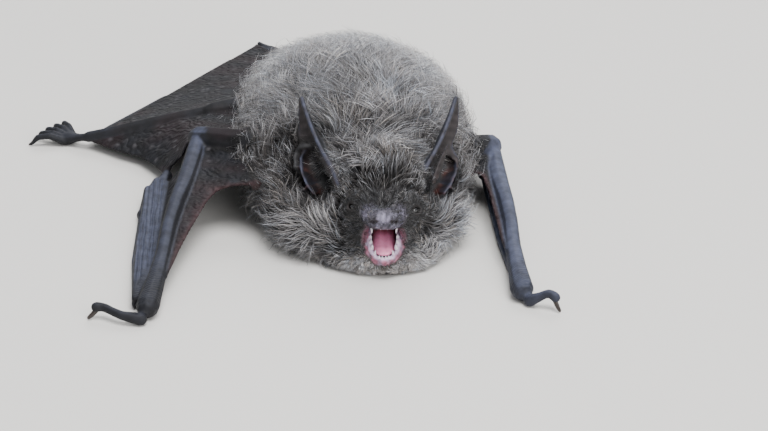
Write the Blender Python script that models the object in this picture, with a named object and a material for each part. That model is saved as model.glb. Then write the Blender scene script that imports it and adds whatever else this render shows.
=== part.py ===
"""A whiskered bat crawling on the ground with its mouth open: the solids of a life-size model.

Lengths below are in millimetres and are turned into metres by MM. The animal faces -Y, its left side
is +X and +Z is up. The nose stands over y = 0 while the parts are made, and the last step moves
everything so that the origin is the middle of the bounding box, on the floor.

The furred parts are made to the outline of the coat. Head, jaw, neck and trunk are one fused form,
parted with thin cuts. Every limb or membrane then starts inside what carries it and is cut back by it.
"""

import math

import bmesh
import bpy
from mathutils import Matrix, Vector

MM = 0.001
GAP = 0.1  # between two parts that meet
CRUMB = 0.0015  # features smaller than this are welded away
FLATNESS = 1.0  # degrees; faces that bend less than this are joined
CREASE = 50.0  # degrees; edges that bend more than this are shaded sharp
FAR = 200.0  # edge of a block that stands for one side of a cut

# Driving sizes of the species.
TRAGUS_LENGTH = 6.4
EYE_RADIUS = 0.8
MEMBRANE = 0.5  # thickness of a wing membrane
FINGER_RADIUS = 0.42
FLOOR_CLEARANCE = 0.05  # of the membranes, which lie just over the floor

# Landmarks of the pose, right side (-X) and left side (+X).
SHOULDER = {"right": Vector((-8.5, 12.5, 7.0)), "left": Vector((4.5, 12.0, 7.0))}
ELBOW = {"right": Vector((-21.5, 23.0, 6.9)), "left": Vector((12.6, 25.8, 4.6))}
WRIST = {"right": Vector((-25.4, -9.6, 1.3)), "left": Vector((15.0, -5.4, 1.3))}
HIP = {"right": Vector((-9.0, 37.2, 5.5)), "left": Vector((-3.0, 39.5, 5.5))}
KNEE = {"right": Vector((-20.6, 34.0, 5.4)), "left": Vector((7.6, 38.4, 5.0))}
ANKLE = {"right": Vector((-35.8, 35.4, 1.6)), "left": Vector((3.6, 52.8, 1.6))}
TOES = {"right": Vector((-0.84, 0.54, 0.0)), "left": Vector((-0.08, 1.0, 0.0))}
TAIL = [Vector((-5.6, 42.0, 4.0)), Vector((-8.0, 51.0, 1.9))]
TAIL += [Vector((-11.6, 60.0, 1.1)), Vector((-16.4, 68.0, 0.8))]
SIDES = ("right", "left")
KNEE_CORNER = "left"  # the side whose leg is drawn in, so that the membranes have a corner at the knee

RECIPES = {}  # of every part that others are cut back by

COLOURS = {
    "coat": (0.11, 0.09, 0.07),
    "skin": (0.045, 0.042, 0.048),
    "membrane": (0.035, 0.030, 0.033),
    "mouth": (0.62, 0.22, 0.22),
    "eye": (0.004, 0.004, 0.004),
    "claw": (0.10, 0.08, 0.07),
}
ROUGHNESS = {"coat": 0.95, "skin": 0.6, "membrane": 0.55, "mouth": 0.3, "eye": 0.08, "claw": 0.4}
# What the first words of a part's name say about its surface. Any other part is bare skin.
FINISHES = {"head": "coat", "lower_jaw": "coat", "neck": "coat", "trunk": "coat", "tongue": "mouth"}
FINISHES |= {"eye": "eye", "thumb_claw": "claw", "propatagium": "membrane", "uropatagium": "membrane"}
FINISHES |= {"plagiopatagium": "membrane", "hand_membrane": "membrane"}


# ---------------------------------------------------------------- tools


def mirror_sign(side):
    return -1 if side == "right" else 1


def paint(body):
    """Gives the object a Principled material of its own."""
    finish = FINISHES.get(body.name.removesuffix("_right").removesuffix("_left"), "skin")
    made = bpy.data.materials.new(body.name)
    made.use_nodes = True
    shader = made.node_tree.nodes["Principled BSDF"]
    shader.inputs["Base Color"].default_value = (*COLOURS[finish], 1.0)
    shader.inputs["Roughness"].default_value = ROUGHNESS[finish]
    shader.inputs["Metallic"].default_value = 0.0
    body.data.materials.clear()
    body.data.materials.append(made)


def add(name, bm):
    """A new object that holds the triangles of bm, whose lengths are in millimetres."""
    bmesh.ops.triangulate(bm, faces=bm.faces)
    bmesh.ops.recalc_face_normals(bm, faces=bm.faces)
    mesh = bpy.data.meshes.new(name)
    bm.to_mesh(mesh)
    bm.free()
    made = bpy.data.objects.new(name, mesh)
    bpy.context.scene.collection.objects.link(made)
    return made


def bake(body):
    """Turns the object's modifiers into its mesh."""
    bpy.context.view_layer.update()
    graph = bpy.context.evaluated_depsgraph_get()
    mesh = bpy.data.meshes.new_from_object(body.evaluated_get(graph))
    body.modifiers.clear()
    body.data = mesh
    return body


def copy_of(body, name):
    """Another object with its own copy of the mesh."""
    made = bpy.data.objects.new(name, body.data.copy())
    bpy.context.scene.collection.objects.link(made)
    return made


def cutter_for(name):
    """The form that this part was made from, larger by GAP, to cut its neighbours with."""
    return RECIPES[name](GAP)


def half_space(point, normal):
    """A large block on the side of the plane that the normal points to."""
    bm = bmesh.new()
    bmesh.ops.create_cube(bm, size=FAR)
    turn = Vector(normal).to_track_quat("Z", "Y").to_matrix().to_4x4()
    place = Matrix.Translation(Vector(point)) @ turn @ Matrix.Translation((0, 0, FAR / 2))
    bmesh.ops.transform(bm, matrix=place, verts=bm.verts)
    return add("cutter", bm)


def tidy(body):
    """Triangulates, welds what lies closer than CRUMB, drops doubled faces and keeps the largest piece."""
    bm = bmesh.new()
    bm.from_mesh(body.data)
    bmesh.ops.remove_doubles(bm, verts=bm.verts, dist=CRUMB)
    bmesh.ops.dissolve_degenerate(bm, edges=bm.edges, dist=CRUMB)
    bmesh.ops.dissolve_limit(bm, angle_limit=math.radians(FLATNESS), verts=bm.verts, edges=bm.edges)
    bmesh.ops.triangulate(bm, faces=bm.faces)
    corners = {}
    for face in bm.faces:
        corners.setdefault(frozenset(face.verts), []).append(face)
    doubled = [face for faces in corners.values() if len(faces) > 1 for face in faces]
    bmesh.ops.delete(bm, geom=doubled, context="FACES")
    left = set(bm.verts)
    pieces = []
    while left:
        piece = [left.pop()]
        for vert in piece:
            for edge in vert.link_edges:
                other = edge.other_vert(vert)
                if other in left:
                    left.remove(other)
                    piece.append(other)
        pieces.append(piece)
    pieces.sort(key=len)
    bmesh.ops.delete(bm, geom=[v for piece in pieces[:-1] for v in piece], context="VERTS")
    bm.to_mesh(body.data)
    bm.free()
    return body


def combine(body, cutters, operation="DIFFERENCE"):
    """Applies one Boolean for each cutter, then removes the cutters."""
    for cutter in cutters:
        step = body.modifiers.new("cut", "BOOLEAN")
        step.operation = operation
        step.solver = "EXACT"
        step.object = cutter
        bake(body)
        bpy.data.objects.remove(cutter)
    return tidy(body)


def cut_back(body, *neighbours):
    """Cuts the object back by the parts of these names, with a gap."""
    return combine(body, [cutter_for(name) for name in neighbours])


def stand_on_floor(body, height=0.0):
    """Gives the object a flat at this height."""
    return combine(body, [half_space((0, 0, height), (0, 0, -1))])


def blended(values, share):
    """The Catmull-Rom curve through these vectors or numbers, share 0 to 1 of the way along it."""
    last = len(values) - 1
    span = min(int(share * last), last - 1)
    u = share * last - span
    b, c = values[span], values[span + 1]
    a = values[span - 1] if span > 0 else 2 * b - c
    d = values[span + 2] if span + 2 <= last else 2 * c - b
    return 0.5 * (2 * b + u * (c - a) + u * u * (2 * a - 5 * b + 4 * c - d) + u**3 * (3 * b - a - 3 * c + d))


def shares(count):
    """Count numbers, evenly from 0 to 1."""
    return [i / (count - 1) for i in range(count)]


def add_rings(bm, rings, start, end):
    """Faces over a stack of rings, closed by a fan to the start point and one to the end point."""
    made = [[bm.verts.new(p) for p in ring] for ring in rings]
    sides = len(made[0])
    for low, high in zip(made, made[1:]):
        for i in range(sides):
            j = (i + 1) % sides
            bm.faces.new((low[i], low[j], high[j], high[i]))
    for ring, tip in ((made[0], start), (made[-1], end)):
        pole = bm.verts.new(tip)
        for i in range(sides):
            bm.faces.new((ring[i], ring[(i + 1) % sides], pole))


def tube_into(bm, points, radii, sides=8, rings=8, flat=1.0, up=(0, 0, 1), domed=True):
    """Adds a tube along smooth curves through the points and the radii.

    Flat is its height over its width. Its ends are round if domed and pointed if not.
    """
    points = [Vector(p) for p in points]
    spine = [blended(points, s) for s in shares(rings)]
    sizes = [max(blended(radii, s), 0.02) for s in shares(rings)]
    ahead = [(spine[min(i + 1, rings - 1)] - spine[max(i - 1, 0)]).normalized() for i in range(rings)]

    def ring(centre, along, radius):
        across = along.cross(Vector(up)).normalized()
        over = across.cross(along).normalized()
        turns = [2 * math.pi * k / sides for k in range(sides)]
        return [centre + radius * (math.cos(t) * across + flat * math.sin(t) * over) for t in turns]

    first, last = ahead[0], ahead[-1]
    loops = [ring(c, a, r) for c, a, r in zip(spine, ahead, sizes)]
    if domed:
        slope = math.sqrt(0.5)  # of a dome, half way round
        loops.insert(0, ring(spine[0] - first * sizes[0] * slope, first, sizes[0] * slope))
        loops.append(ring(spine[-1] + last * sizes[-1] * slope, last, sizes[-1] * slope))
    add_rings(bm, loops, spine[0] - first * sizes[0], spine[-1] + last * sizes[-1])


def made_from(name, recipe):
    """Makes the object of this name from a recipe, which takes the margin to grow by."""
    RECIPES[name] = recipe
    body = recipe(0.0)
    body.name = name
    return body


def tubes(name, strands):
    """Tubes, given as (points, radii, options), fused into one solid."""

    def recipe(margin):
        made = []
        for points, radii, options in strands:
            bm = bmesh.new()
            tube_into(bm, points, [radius + margin for radius in radii], **options)
            made.append(add(name, bm))
        return combine(made[0], made[1:], "UNION")

    return made_from(name, recipe)


def tube(name, points, radii, **options):
    """One tube as an object of its own."""
    return tubes(name, [(points, radii, options)])


def slab(name, rows, thickness=MEMBRANE):
    """A thin solid over a grid of points, half of its thickness on each side of them."""
    return made_from(name, lambda margin: slab_object(name, rows, thickness + 2 * margin))


def slab_object(name, rows, thickness):
    count, width = len(rows), len(rows[0])

    def normal(i, j):
        along = rows[min(i + 1, count - 1)][j] - rows[max(i - 1, 0)][j]
        across = rows[i][min(j + 1, width - 1)] - rows[i][max(j - 1, 0)]
        return along.cross(across).normalized()

    bm = bmesh.new()
    layers = []
    for offset in (thickness / 2, -thickness / 2):
        layer = []
        for i in range(count):
            layer.append([bm.verts.new(rows[i][j] + offset * normal(i, j)) for j in range(width)])
        layers.append(layer)
    top, low = layers
    for i in range(count - 1):
        for j in range(width - 1):
            bm.faces.new((top[i][j], top[i][j + 1], top[i + 1][j + 1], top[i + 1][j]))
            bm.faces.new((low[i][j], low[i + 1][j], low[i + 1][j + 1], low[i][j + 1]))
    rim = [(i, 0) for i in range(count)]
    rim += [(count - 1, j) for j in range(1, width)]
    rim += [(i, width - 1) for i in range(count - 2, -1, -1)]
    rim += [(0, j) for j in range(width - 2, 0, -1)]
    for (i, j), (k, m) in zip(rim, rim[1:] + rim[:1]):
        bm.faces.new((top[i][j], top[k][m], low[k][m], low[i][j]))
    return add(name, bm)


def patch(near, far, start, end, across, along):
    """Grid points of a sheet inside four curves, each given by its points.

    Near and far run from start to end, start and end run from near to far.
    """
    rows = []
    for s in shares(along):
        row = []
        for t in shares(across):
            between = blended(near, s).lerp(blended(far, s), t)
            along_ends = blended(start, t).lerp(blended(end, t), s)
            corners = near[0].lerp(far[0], t).lerp(near[-1].lerp(far[-1], t), s)
            row.append(between + along_ends - corners)
        rows.append(row)
    return rows


# ---------------------------------------------------------------- head, neck and trunk

# Centre and radii of the forms that are fused into the outline of the coat.
COAT_FORMS = {
    "chest": ((-3.3, 20.0, 6.0), (14.2, 10.4, 8.6)),
    "ribs": ((-3.5, 24.5, 6.5), (13.9, 12.0, 9.3)),
    "back": ((-3.8, 29.0, 6.7), (13.4, 12.8, 9.5)),
    "loin": ((-4.5, 33.0, 6.2), (12.9, 12.0, 8.9)),
    "rump": ((-5.1, 37.0, 5.6), (11.6, 9.6, 8.0)),
    "shoulders": ((-2.7, 14.0, 5.0), (13.2, 10.0, 7.0)),
    "ruff": ((-2.0, 9.0, 3.6), (12.4, 8.4, 5.2)),
    "throat": ((-0.4, 4.0, 1.6), (7.2, 4.4, 3.0)),
    "crown": ((-0.2, 8.0, 8.0), (5.0, 6.2, 5.2)),
    "brow": ((-0.1, 4.0, 7.9), (3.8, 3.4, 2.7)),
}
FACE_FORMS = {
    "cheek_right": ((-4.3, 5.6, 5.2), (2.9, 3.6, 3.4)),
    "cheek_left": ((4.1, 5.6, 5.2), (2.9, 3.6, 3.4)),
    "muzzle": ((0.0, 2.0, 7.2), (2.5, 3.6, 1.8)),
    "gland_right": ((-1.7, 1.0, 7.4), (1.25, 1.9, 1.25)),
    "gland_left": ((1.7, 1.0, 7.4), (1.25, 1.9, 1.25)),
    "nose": ((0.0, -1.0, 7.7), (1.25, 0.8, 0.85)),
    "lip_right": ((-2.5, 2.6, 4.6), (0.9, 2.8, 2.2)),
    "lip_left": ((2.5, 2.6, 4.6), (0.9, 2.8, 2.2)),
    "jaw": ((0.0, 3.0, 1.9), (2.6, 4.0, 1.5)),
}
VOXEL = 0.34  # of the grid that fuses them
SMOOTHING = 7  # passes
BODY_TRIANGLES = 2200
NECK_CUT = (Vector((0, 8.6, 5.0)), Vector((0, 0.94, 0.34)))
SHOULDER_CUT = (Vector((0, 14.0, 5.0)), Vector((0, 1.0, 0.0)))
JAW_BLOCK = (4.9, 9.0, 2.2)  # what lies inside this turned block is the lower jaw
JAW_BLOCK_CENTRE = (0.0, 0.6, 2.35)
JAW_BLOCK_TURN = math.radians(22)
EYES = {"right": Vector((-3.2, 2.7, 7.4)), "left": Vector((3.2, 2.7, 7.0))}
TOOTH_SIDES = 5
# Distance from the middle, y, z of the root, z of the tip and radius of each tooth of one side.
UPPER_TEETH = [(0.45, -0.75, 6.9, 6.0, 0.2), (1.35, -0.2, 6.9, 5.2, 0.3), (1.62, 0.75, 6.7, 5.9, 0.26)]
LOWER_TEETH = [(0.3, -0.7, 2.0, 2.9, 0.2), (1.15, -0.35, 2.3, 3.8, 0.27)]
LOWER_TEETH += [(1.5, 0.6, 2.8, 3.75, 0.27), (1.68, 1.6, 3.2, 4.1, 0.3)]


def fused_form(name, forms):
    """Ellipsoids fused into one smooth closed form."""
    bm = bmesh.new()
    for centre, radii in forms.values():
        place = Matrix.Translation(centre) @ Matrix.Diagonal((*radii, 1.0))
        bmesh.ops.create_icosphere(bm, subdivisions=4, radius=1.0, matrix=place)
    body = add(name, bm)
    remesh = body.modifiers.new("fuse", "REMESH")
    remesh.mode = "VOXEL"
    remesh.voxel_size = VOXEL
    soften = body.modifiers.new("soften", "SMOOTH")
    soften.factor = 0.5
    soften.iterations = SMOOTHING
    bake(body)
    thin = body.modifiers.new("thin", "DECIMATE")
    thin.ratio = BODY_TRIANGLES / (2 * len(body.data.polygons))
    return bake(body)


def mouth_hollow(margin=0.0):
    """The space between the jaws, wide at the lips and narrow at the throat."""
    bm = bmesh.new()
    centres = [(0, -4.0, 4.6), (0, 0.5, 4.6), (0, 4.0, 4.3), (0, 6.6, 4.2)]
    tube_into(bm, centres, [r + margin for r in (2.3, 1.95, 1.75, 1.0)], sides=14, rings=6, flat=1.08)
    return add("mouth_hollow", bm)


def jaw_block(margin=0.0):
    """The block that holds the lower jaw, larger by this margin on every side."""
    bm = bmesh.new()
    bmesh.ops.create_cube(bm, size=1.0)
    size = Matrix.Diagonal((*[edge + 2 * margin for edge in JAW_BLOCK], 1.0))
    place = Matrix.Translation(JAW_BLOCK_CENTRE) @ Matrix.Rotation(JAW_BLOCK_TURN, 4, "X")
    bmesh.ops.transform(bm, matrix=place @ size, verts=bm.verts)
    return add("jaw_block", bm)


def teeth(name, places):
    """The teeth of one jaw, from those of one side."""
    bm = bmesh.new()
    for x, y, root, tip, radius in places:
        for side in (-1, 1):
            base = Vector((side * x, y, root))
            turns = [2 * math.pi * k / TOOTH_SIDES for k in range(TOOTH_SIDES)]
            ring = [base + radius * Vector((math.cos(t), math.sin(t), 0)) for t in turns]
            add_rings(bm, [ring], base, base + Vector((0, -0.1, tip - root)))
    return add(name, bm)




def build_core():
    """Head with its upper teeth, lower jaw with its teeth, neck and trunk."""
    whole = fused_form("whole", {**COAT_FORMS, **FACE_FORMS})
    outline = whole.data.copy()

    def outline_recipe(margin):
        swollen = bpy.data.objects.new("outline", outline.copy())
        bpy.context.scene.collection.objects.link(swollen)
        swell = swollen.modifiers.new("swell", "DISPLACE")
        swell.mid_level = 0.0
        swell.strength = margin
        return bake(swollen)

    RECIPES["body"] = outline_recipe
    stand_on_floor(whole)
    combine(whole, [mouth_hollow()])
    half = GAP / 2

    def part(name, *sides):
        """A copy of the whole on one side of each cut: -1 before the plane, 1 beyond it."""
        piece = copy_of(whole, name)
        return combine(piece, [half_space(p + sign * half * n, -sign * n) for (p, n), sign in sides])

    head = combine(part("head", (NECK_CUT, -1)), [jaw_block(GAP)])
    lower_jaw = combine(part("lower_jaw", (NECK_CUT, -1)), [jaw_block()], "INTERSECT")
    part("neck", (NECK_CUT, 1), (SHOULDER_CUT, -1))
    part("trunk", (SHOULDER_CUT, 1))
    bpy.data.objects.remove(whole)
    combine(head, [teeth("upper_teeth", UPPER_TEETH)], "UNION")
    combine(lower_jaw, [teeth("lower_teeth", LOWER_TEETH)], "UNION")
    build_eyes(head)
    build_tongue()


def build_tongue():
    """The tongue, from the throat to behind the lower front teeth."""
    points = [(0, 7.0, 3.3), (0, 4.5, 3.05), (0, 2.0, 2.8), (0, 0.6, 2.6)]
    body = tube("tongue", points, [0.9, 1.15, 1.1, 0.8], sides=12, rings=6, flat=0.75)
    combine(body, [mouth_hollow(-GAP)], "INTERSECT")


def eyeball(side, margin):
    bm = bmesh.new()
    place = Matrix.Translation(EYES[side])
    bmesh.ops.create_icosphere(bm, subdivisions=2, radius=EYE_RADIUS + margin, matrix=place)
    return add("eyeball", bm)


def build_eyes(head):
    """Both eyeballs, and the sockets that they sit in."""
    for side in SIDES:
        made_from(f"eye_{side}", lambda margin: eyeball(side, margin))
        cut_back(head, f"eye_{side}")


# ---------------------------------------------------------------- ears

# Edges of the ear from inside the head to the tip, as distance from the middle of the head, y and z.
EAR_MIDDLE = -0.6
EAR_FRONT_EDGE = [(3.1, 5.0, 6.3), (3.9, 4.4, 7.9), (5.2, 7.2, 10.0), (6.4, 9.2, 11.4)]
EAR_FRONT_EDGE += [(7.4, 11.0, 12.8), (8.3, 13.2, 14.6), (8.75, 14.8, 15.6)]
EAR_BACK_EDGE = [(6.5, 8.8, 5.6), (7.7, 8.8, 7.0), (8.8, 10.7, 7.9), (9.0, 12.1, 9.1)]
EAR_BACK_EDGE += [(8.2, 12.3, 10.3), (9.0, 14.0, 12.2), (9.0, 15.15, 15.2)]
EAR_DEPTH = [1.4, 1.6, 1.7, 1.4, 1.0, 0.6, 0.1]  # of the hollow, from the root to the tip
EAR_REACH = 0.2  # share of the ear's length over which its direction is taken
EAR_THICKNESS = 0.5
EAR_ACROSS = (0.0, 0.17, 0.37, 0.63, 0.83, 1.0)  # places of the points from the front edge to the back edge
TRAGUS_PLACE = (0.62, 0.14)  # share of the way from the front edge to the back edge, and up the ear
TRAGUS_ROOT = 1.2  # length of it that starts inside the head
TRAGUS_LEAN = 0.4  # of its tip towards the front
TRAGUS_RADII = [0.95, 0.75, 0.16]


def ear_point(side, edge, share):
    x, y, z = blended([Vector(p) for p in edge], share)
    return Vector((EAR_MIDDLE + mirror_sign(side) * x, y, z))


def ear_facing(side, share):
    """The direction that the hollow of the ear faces at this share of its length."""
    front, back = ear_point(side, EAR_FRONT_EDGE, share), ear_point(side, EAR_BACK_EDGE, share)
    above = ear_point(side, EAR_FRONT_EDGE, min(share + EAR_REACH, 1.0))
    below = ear_point(side, EAR_FRONT_EDGE, max(share - EAR_REACH, 0.0))
    return (back - front).cross(above - below).normalized() * mirror_sign(side)


def build_ear(side):
    """The ear shell and the tragus in its mouth."""
    rows = []
    for s in shares(11):
        front, back = ear_point(side, EAR_FRONT_EDGE, s), ear_point(side, EAR_BACK_EDGE, s)
        bulge = -ear_facing(side, s) * blended(EAR_DEPTH, s)
        rows.append([front.lerp(back, t) + bulge * 4 * t * (1 - t) for t in EAR_ACROSS])
    cut_back(slab(f"ear_{side}", rows, EAR_THICKNESS), "body")

    across, up = TRAGUS_PLACE
    front, back = ear_point(side, EAR_FRONT_EDGE, up), ear_point(side, EAR_BACK_EDGE, up)
    tip = ear_point(side, EAR_FRONT_EDGE, 1.0).lerp(ear_point(side, EAR_BACK_EDGE, 1.0), 0.5)
    root = front.lerp(back, across)
    axis = (tip - root).normalized()
    facing = ear_facing(side, up)
    reach = axis * TRAGUS_LENGTH
    points = [root - axis * TRAGUS_ROOT, root + reach / 2, root + reach + facing * TRAGUS_LEAN]
    shape = {"sides": 6, "rings": 5, "flat": 0.34, "up": facing}
    cut_back(tube(f"tragus_{side}", points, TRAGUS_RADII, **shape), "body", f"ear_{side}")


# ---------------------------------------------------------------- wings


THUMB = {
    "right": ((-26.0, -11.4, 0.7), (-28.2, -11.2, 1.1), (-30.0, -10.0, 1.4), (-30.9, -9.9, 1.4)),
    "left": ((15.8, -6.9, 0.7), (16.9, -7.4, 1.4), (17.8, -7.6, 1.9), (18.5, -8.0, 1.6)),
}
THUMB_CLAW = {
    "right": ((-31.5, -10.1, 1.0), (-31.7, -10.4, 0.05)),
    "left": ((18.9, -8.4, 1.0), (18.8, -8.7, 0.05)),
}
UPPER_ARM_RISE = Vector((0, 0, 1.4))  # of the middle of the upper arm
FOREARM_BOW = Vector((0.3, 0, 0.5))  # of the middle of the forearm, outwards and up


def build_arm(side):
    """Upper arm, forearm with the wrist, and thumb with its claw."""
    shoulder, elbow, wrist = SHOULDER[side], ELBOW[side], WRIST[side]
    names = ("upper_arm", "forearm", "thumb", "thumb_claw")
    upper, fore, thumb, claw = (f"{name}_{side}" for name in names)
    middle = shoulder.lerp(elbow, 0.5) + UPPER_ARM_RISE
    cut_back(tube(upper, [shoulder, middle, elbow], [2.2, 1.7, 1.4], rings=5), "body")
    points = [elbow.lerp(wrist, s) for s in shares(5)]
    points[2] += Vector((mirror_sign(side) * FOREARM_BOW.x, FOREARM_BOW.y, FOREARM_BOW.z))
    body = tube(fore, points, [1.05, 1.15, 0.9, 0.95, 1.35], rings=8)
    stand_on_floor(cut_back(body, upper, "body"))
    body = tube(thumb, THUMB[side], [0.75, 0.52, 0.5, 0.6], rings=7)
    stand_on_floor(cut_back(body, fore))
    points = [THUMB[side][-1], *THUMB_CLAW[side]]
    body = tube(claw, points, [0.4, 0.24, 0.08], sides=5, rings=4, domed=False)
    stand_on_floor(cut_back(body, thumb))


# Metacarpals of the folded hand, which lie back beside the right forearm and under the left one:
# base, middle and knuckle.
FINGERS = {
    "right": {
        "finger_3": ((-26.9, -7.8, 1.3), (-27.5, 5.0, 1.5), (-27.4, 20.0, 1.7)),
        "finger_4": ((-26.2, -7.2, 1.3), (-26.6, 5.5, 1.5), (-26.5, 22.2, 1.7)),
        "finger_5": ((-25.5, -6.6, 1.3), (-25.7, 6.5, 1.4), (-25.6, 24.0, 1.7)),
        "finger_2": ((-26.9, -7.8, 0.6), (-27.8, 3.0, 0.6), (-27.8, 15.0, 0.6)),
    },
    "left": {
        "finger_3": ((15.7, -3.8, 0.8), (14.6, 8.0, 1.0), (13.3, 23.8, 1.3)),
        "finger_4": ((15.1, -3.4, 0.8), (13.8, 8.0, 1.0), (12.5, 24.6, 1.3)),
        "finger_5": ((14.5, -3.0, 0.8), (13.0, 8.0, 1.0), (11.7, 25.2, 1.3)),
        "finger_2": ((16.0, -3.6, 0.5), (14.9, 6.0, 0.5), (13.8, 18.0, 0.5)),
    },
}


def build_fingers(side):
    """The four long fingers, folded back along the forearm."""
    carriers = [f"forearm_{side}", f"thumb_{side}"]
    for finger, points in FINGERS[side].items():
        name = f"{finger}_{side}"
        radii = [FINGER_RADIUS, FINGER_RADIUS * 0.85, FINGER_RADIUS * 1.1]
        body = tube(name, points, radii, sides=6, rings=5, domed=False)
        stand_on_floor(cut_back(body, *carriers))
        carriers.append(name)


# Free edge of the membrane before the arm, body to wrist.
FRONT_EDGE = {
    "right": [(-9.0, 9.5, 6.8), (-15.2, 10.6, 6.5), (-18.8, 11.2, 5.5)],
    "left": [(4.0, 12.0, 6.0), (8.6, 16.4, 5.7), (11.3, 17.4, 4.5)],
}
FRONT_EDGE["right"] += [(-20.6, 6.8, 4.6), (-22.3, 1.0, 3.4), (-24.2, -6.6, 2.0)]
FRONT_EDGE["left"] += [(12.4, 10.4, 3.2), (13.1, 4.2, 2.6), (14.3, -2.6, 1.9)]
# Free edge of the membrane behind the arm, knuckles to ankle.
REAR_EDGE = {
    "right": ((-25.9, 24.4, 1.5), (-28.6, 29.4, 1.3), (-32.4, 32.2, 1.2), (-35.4, 34.8, 1.3)),
    "left": ((11.6, 25.6, 1.2), (9.6, 34.0, 1.0), (6.4, 43.0, 1.0), (3.6, 52.2, 1.2)),
}


def build_arm_membranes(side):
    """Membrane before the arm, behind it as far as the leg, and under the folded fingers."""
    out = mirror_sign(side)
    shoulder, elbow, wrist = SHOULDER[side], ELBOW[side], WRIST[side]
    hip, knee, ankle = HIP[side], KNEE[side], ANKLE[side]
    arm = [f"upper_arm_{side}", f"forearm_{side}"]
    fingers = [f"{name}_{side}" for name in FINGERS[side]]

    free = [Vector(p) for p in FRONT_EDGE[side]]
    held = [shoulder, shoulder.lerp(elbow, 0.55), elbow]
    held += [elbow.lerp(wrist, 0.33), elbow.lerp(wrist, 0.66), wrist]
    rows = patch(free, held, [free[0], held[0]], [free[-1], held[-1]], 4, 11)
    front = slab(f"propatagium_{side}", rows)
    stand_on_floor(cut_back(front, "body", *arm, f"thumb_{side}"))

    rim = [Vector(p) for p in REAR_EDGE[side]]
    armpit = shoulder.lerp(elbow, 0.3) + Vector((0, 2.0, -0.5))
    arm_line = [rim[0], rim[0].lerp(elbow, 0.5), elbow, armpit]
    leg_line = [rim[-1], ankle.lerp(knee, 0.5), knee, hip]
    flank = [armpit, hip]
    if side == KNEE_CORNER:
        leg_line.pop()
        flank = [armpit, armpit.lerp(hip, 0.5), knee]
    rear = slab(f"plagiopatagium_{side}", patch(arm_line, leg_line, rim, flank, 6, 7))
    cut_back(rear, "body", *arm, f"thigh_{side}", f"shank_{side}", f"foot_{side}", *fingers)
    stand_on_floor(rear, FLOOR_CLEARANCE)

    low = FLOOR_CLEARANCE + MEMBRANE / 2
    edges = []
    for name, aside in (("finger_5", -0.2), ("finger_2", 0.2)):
        edges.append([Vector((x + out * aside, y, low)) for x, y, z in FINGERS[side][name]])
    inner, outer = edges
    rows = patch(inner, outer, [inner[0], outer[0]], [inner[-1], outer[-1]], 3, 5)
    cut_back(slab(f"hand_membrane_{side}", rows), *fingers, f"forearm_{side}", f"thumb_{side}")


# ---------------------------------------------------------------- legs and tail


SOLE_REACH = 3.2  # from the ankle to the roots of the toes
SOLE_DROP = 0.95
TOE_SPACING = 0.45
TOE_ROOT = 0.3  # length of a toe that starts inside the sole
TOE_SPREAD = 0.3  # sideways lean of each toe against its neighbour
TOE_ARCH = ((0.0, 0.0), (1.9, 0.7), (3.3, 0.5), (4.3, -0.55))  # reach and rise along a toe


def build_leg(side):
    """Thigh, shank and foot with its five clawed toes."""
    hip, knee, ankle = HIP[side], KNEE[side], ANKLE[side]
    thigh, shank, foot = (f"{name}_{side}" for name in ("thigh", "shank", "foot"))
    cut_back(tube(thigh, [hip, hip.lerp(knee, 0.5), knee], [2.6, 1.9, 1.3], rings=4), "body")
    points = [knee, knee.lerp(ankle, 0.35), knee.lerp(ankle, 0.75), ankle]
    cut_back(tube(shank, points, [0.95, 1.0, 0.75, 0.7], rings=6), thigh, "body")
    ahead = TOES[side].normalized()
    aside = Vector((-ahead.y, ahead.x, 0))
    sole = ankle + ahead * SOLE_REACH - Vector((0, 0, SOLE_DROP))
    points = [ankle, ankle.lerp(sole, 0.5), sole]
    strands = [(points, [0.75, 0.8, 1.2], {"rings": 3, "flat": 0.6, "sides": 7})]
    for k in range(-2, 3):
        root = sole + aside * TOE_SPACING * k - ahead * TOE_ROOT
        heading = (ahead + aside * TOE_SPREAD * k).normalized()
        points = [root + heading * along + Vector((0, 0, rise)) for along, rise in TOE_ARCH]
        strands.append((points, [0.36, 0.33, 0.3, 0.1], {"sides": 4, "rings": 4, "domed": False}))
    stand_on_floor(cut_back(tubes(foot, strands), shank))


def build_tail():
    """The tail, along the floor behind the rump."""
    stand_on_floor(cut_back(tube("tail", TAIL, [1.5, 0.85, 0.6, 0.3], rings=9), "body"))


# Free edge of the membrane between the legs, ankle to tail tip.
TAIL_EDGE = {
    "right": ((-35.6, 36.2, 1.0), (-29.4, 46.4, 0.9), (-23.6, 56.0, 0.9), (-16.7, 67.4, 0.8)),
    "left": ((2.8, 53.4, 1.1), (-3.2, 58.6, 0.9), (-10.0, 63.6, 0.9), (-15.9, 67.4, 0.8)),
}
CALCAR_SHARE = 0.42  # of that edge


def build_tail_membrane(side):
    """Membrane between the leg and the tail, and the spur that stiffens its edge."""
    hip, knee, ankle = HIP[side], KNEE[side], ANKLE[side]
    leg = [f"{name}_{side}" for name in ("thigh", "shank", "foot")]
    spur = f"calcar_{side}"
    rim = [Vector(p) for p in TAIL_EDGE[side]]
    spur_line = [blended(rim, CALCAR_SHARE * s) for s in shares(5)]
    body = tube(spur, spur_line, [0.45, 0.42, 0.38, 0.32, 0.26], sides=5, rings=5, domed=False)
    stand_on_floor(cut_back(body, *leg))
    leg_line = [rim[0], ankle.lerp(knee, 0.5), knee, hip]
    tail_line = [rim[-1], TAIL[2], TAIL[1], TAIL[0]]
    rump = [hip, TAIL[0]]
    if side == KNEE_CORNER:
        leg_line.pop()
        rump = [knee, hip.lerp(TAIL[0], 0.3), TAIL[0]]
    web = slab(f"uropatagium_{side}", patch(leg_line, tail_line, rim, rump, 7, 7))
    stand_on_floor(cut_back(web, "body", *leg, "tail", spur), FLOOR_CLEARANCE)


# ---------------------------------------------------------------- assembly


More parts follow.
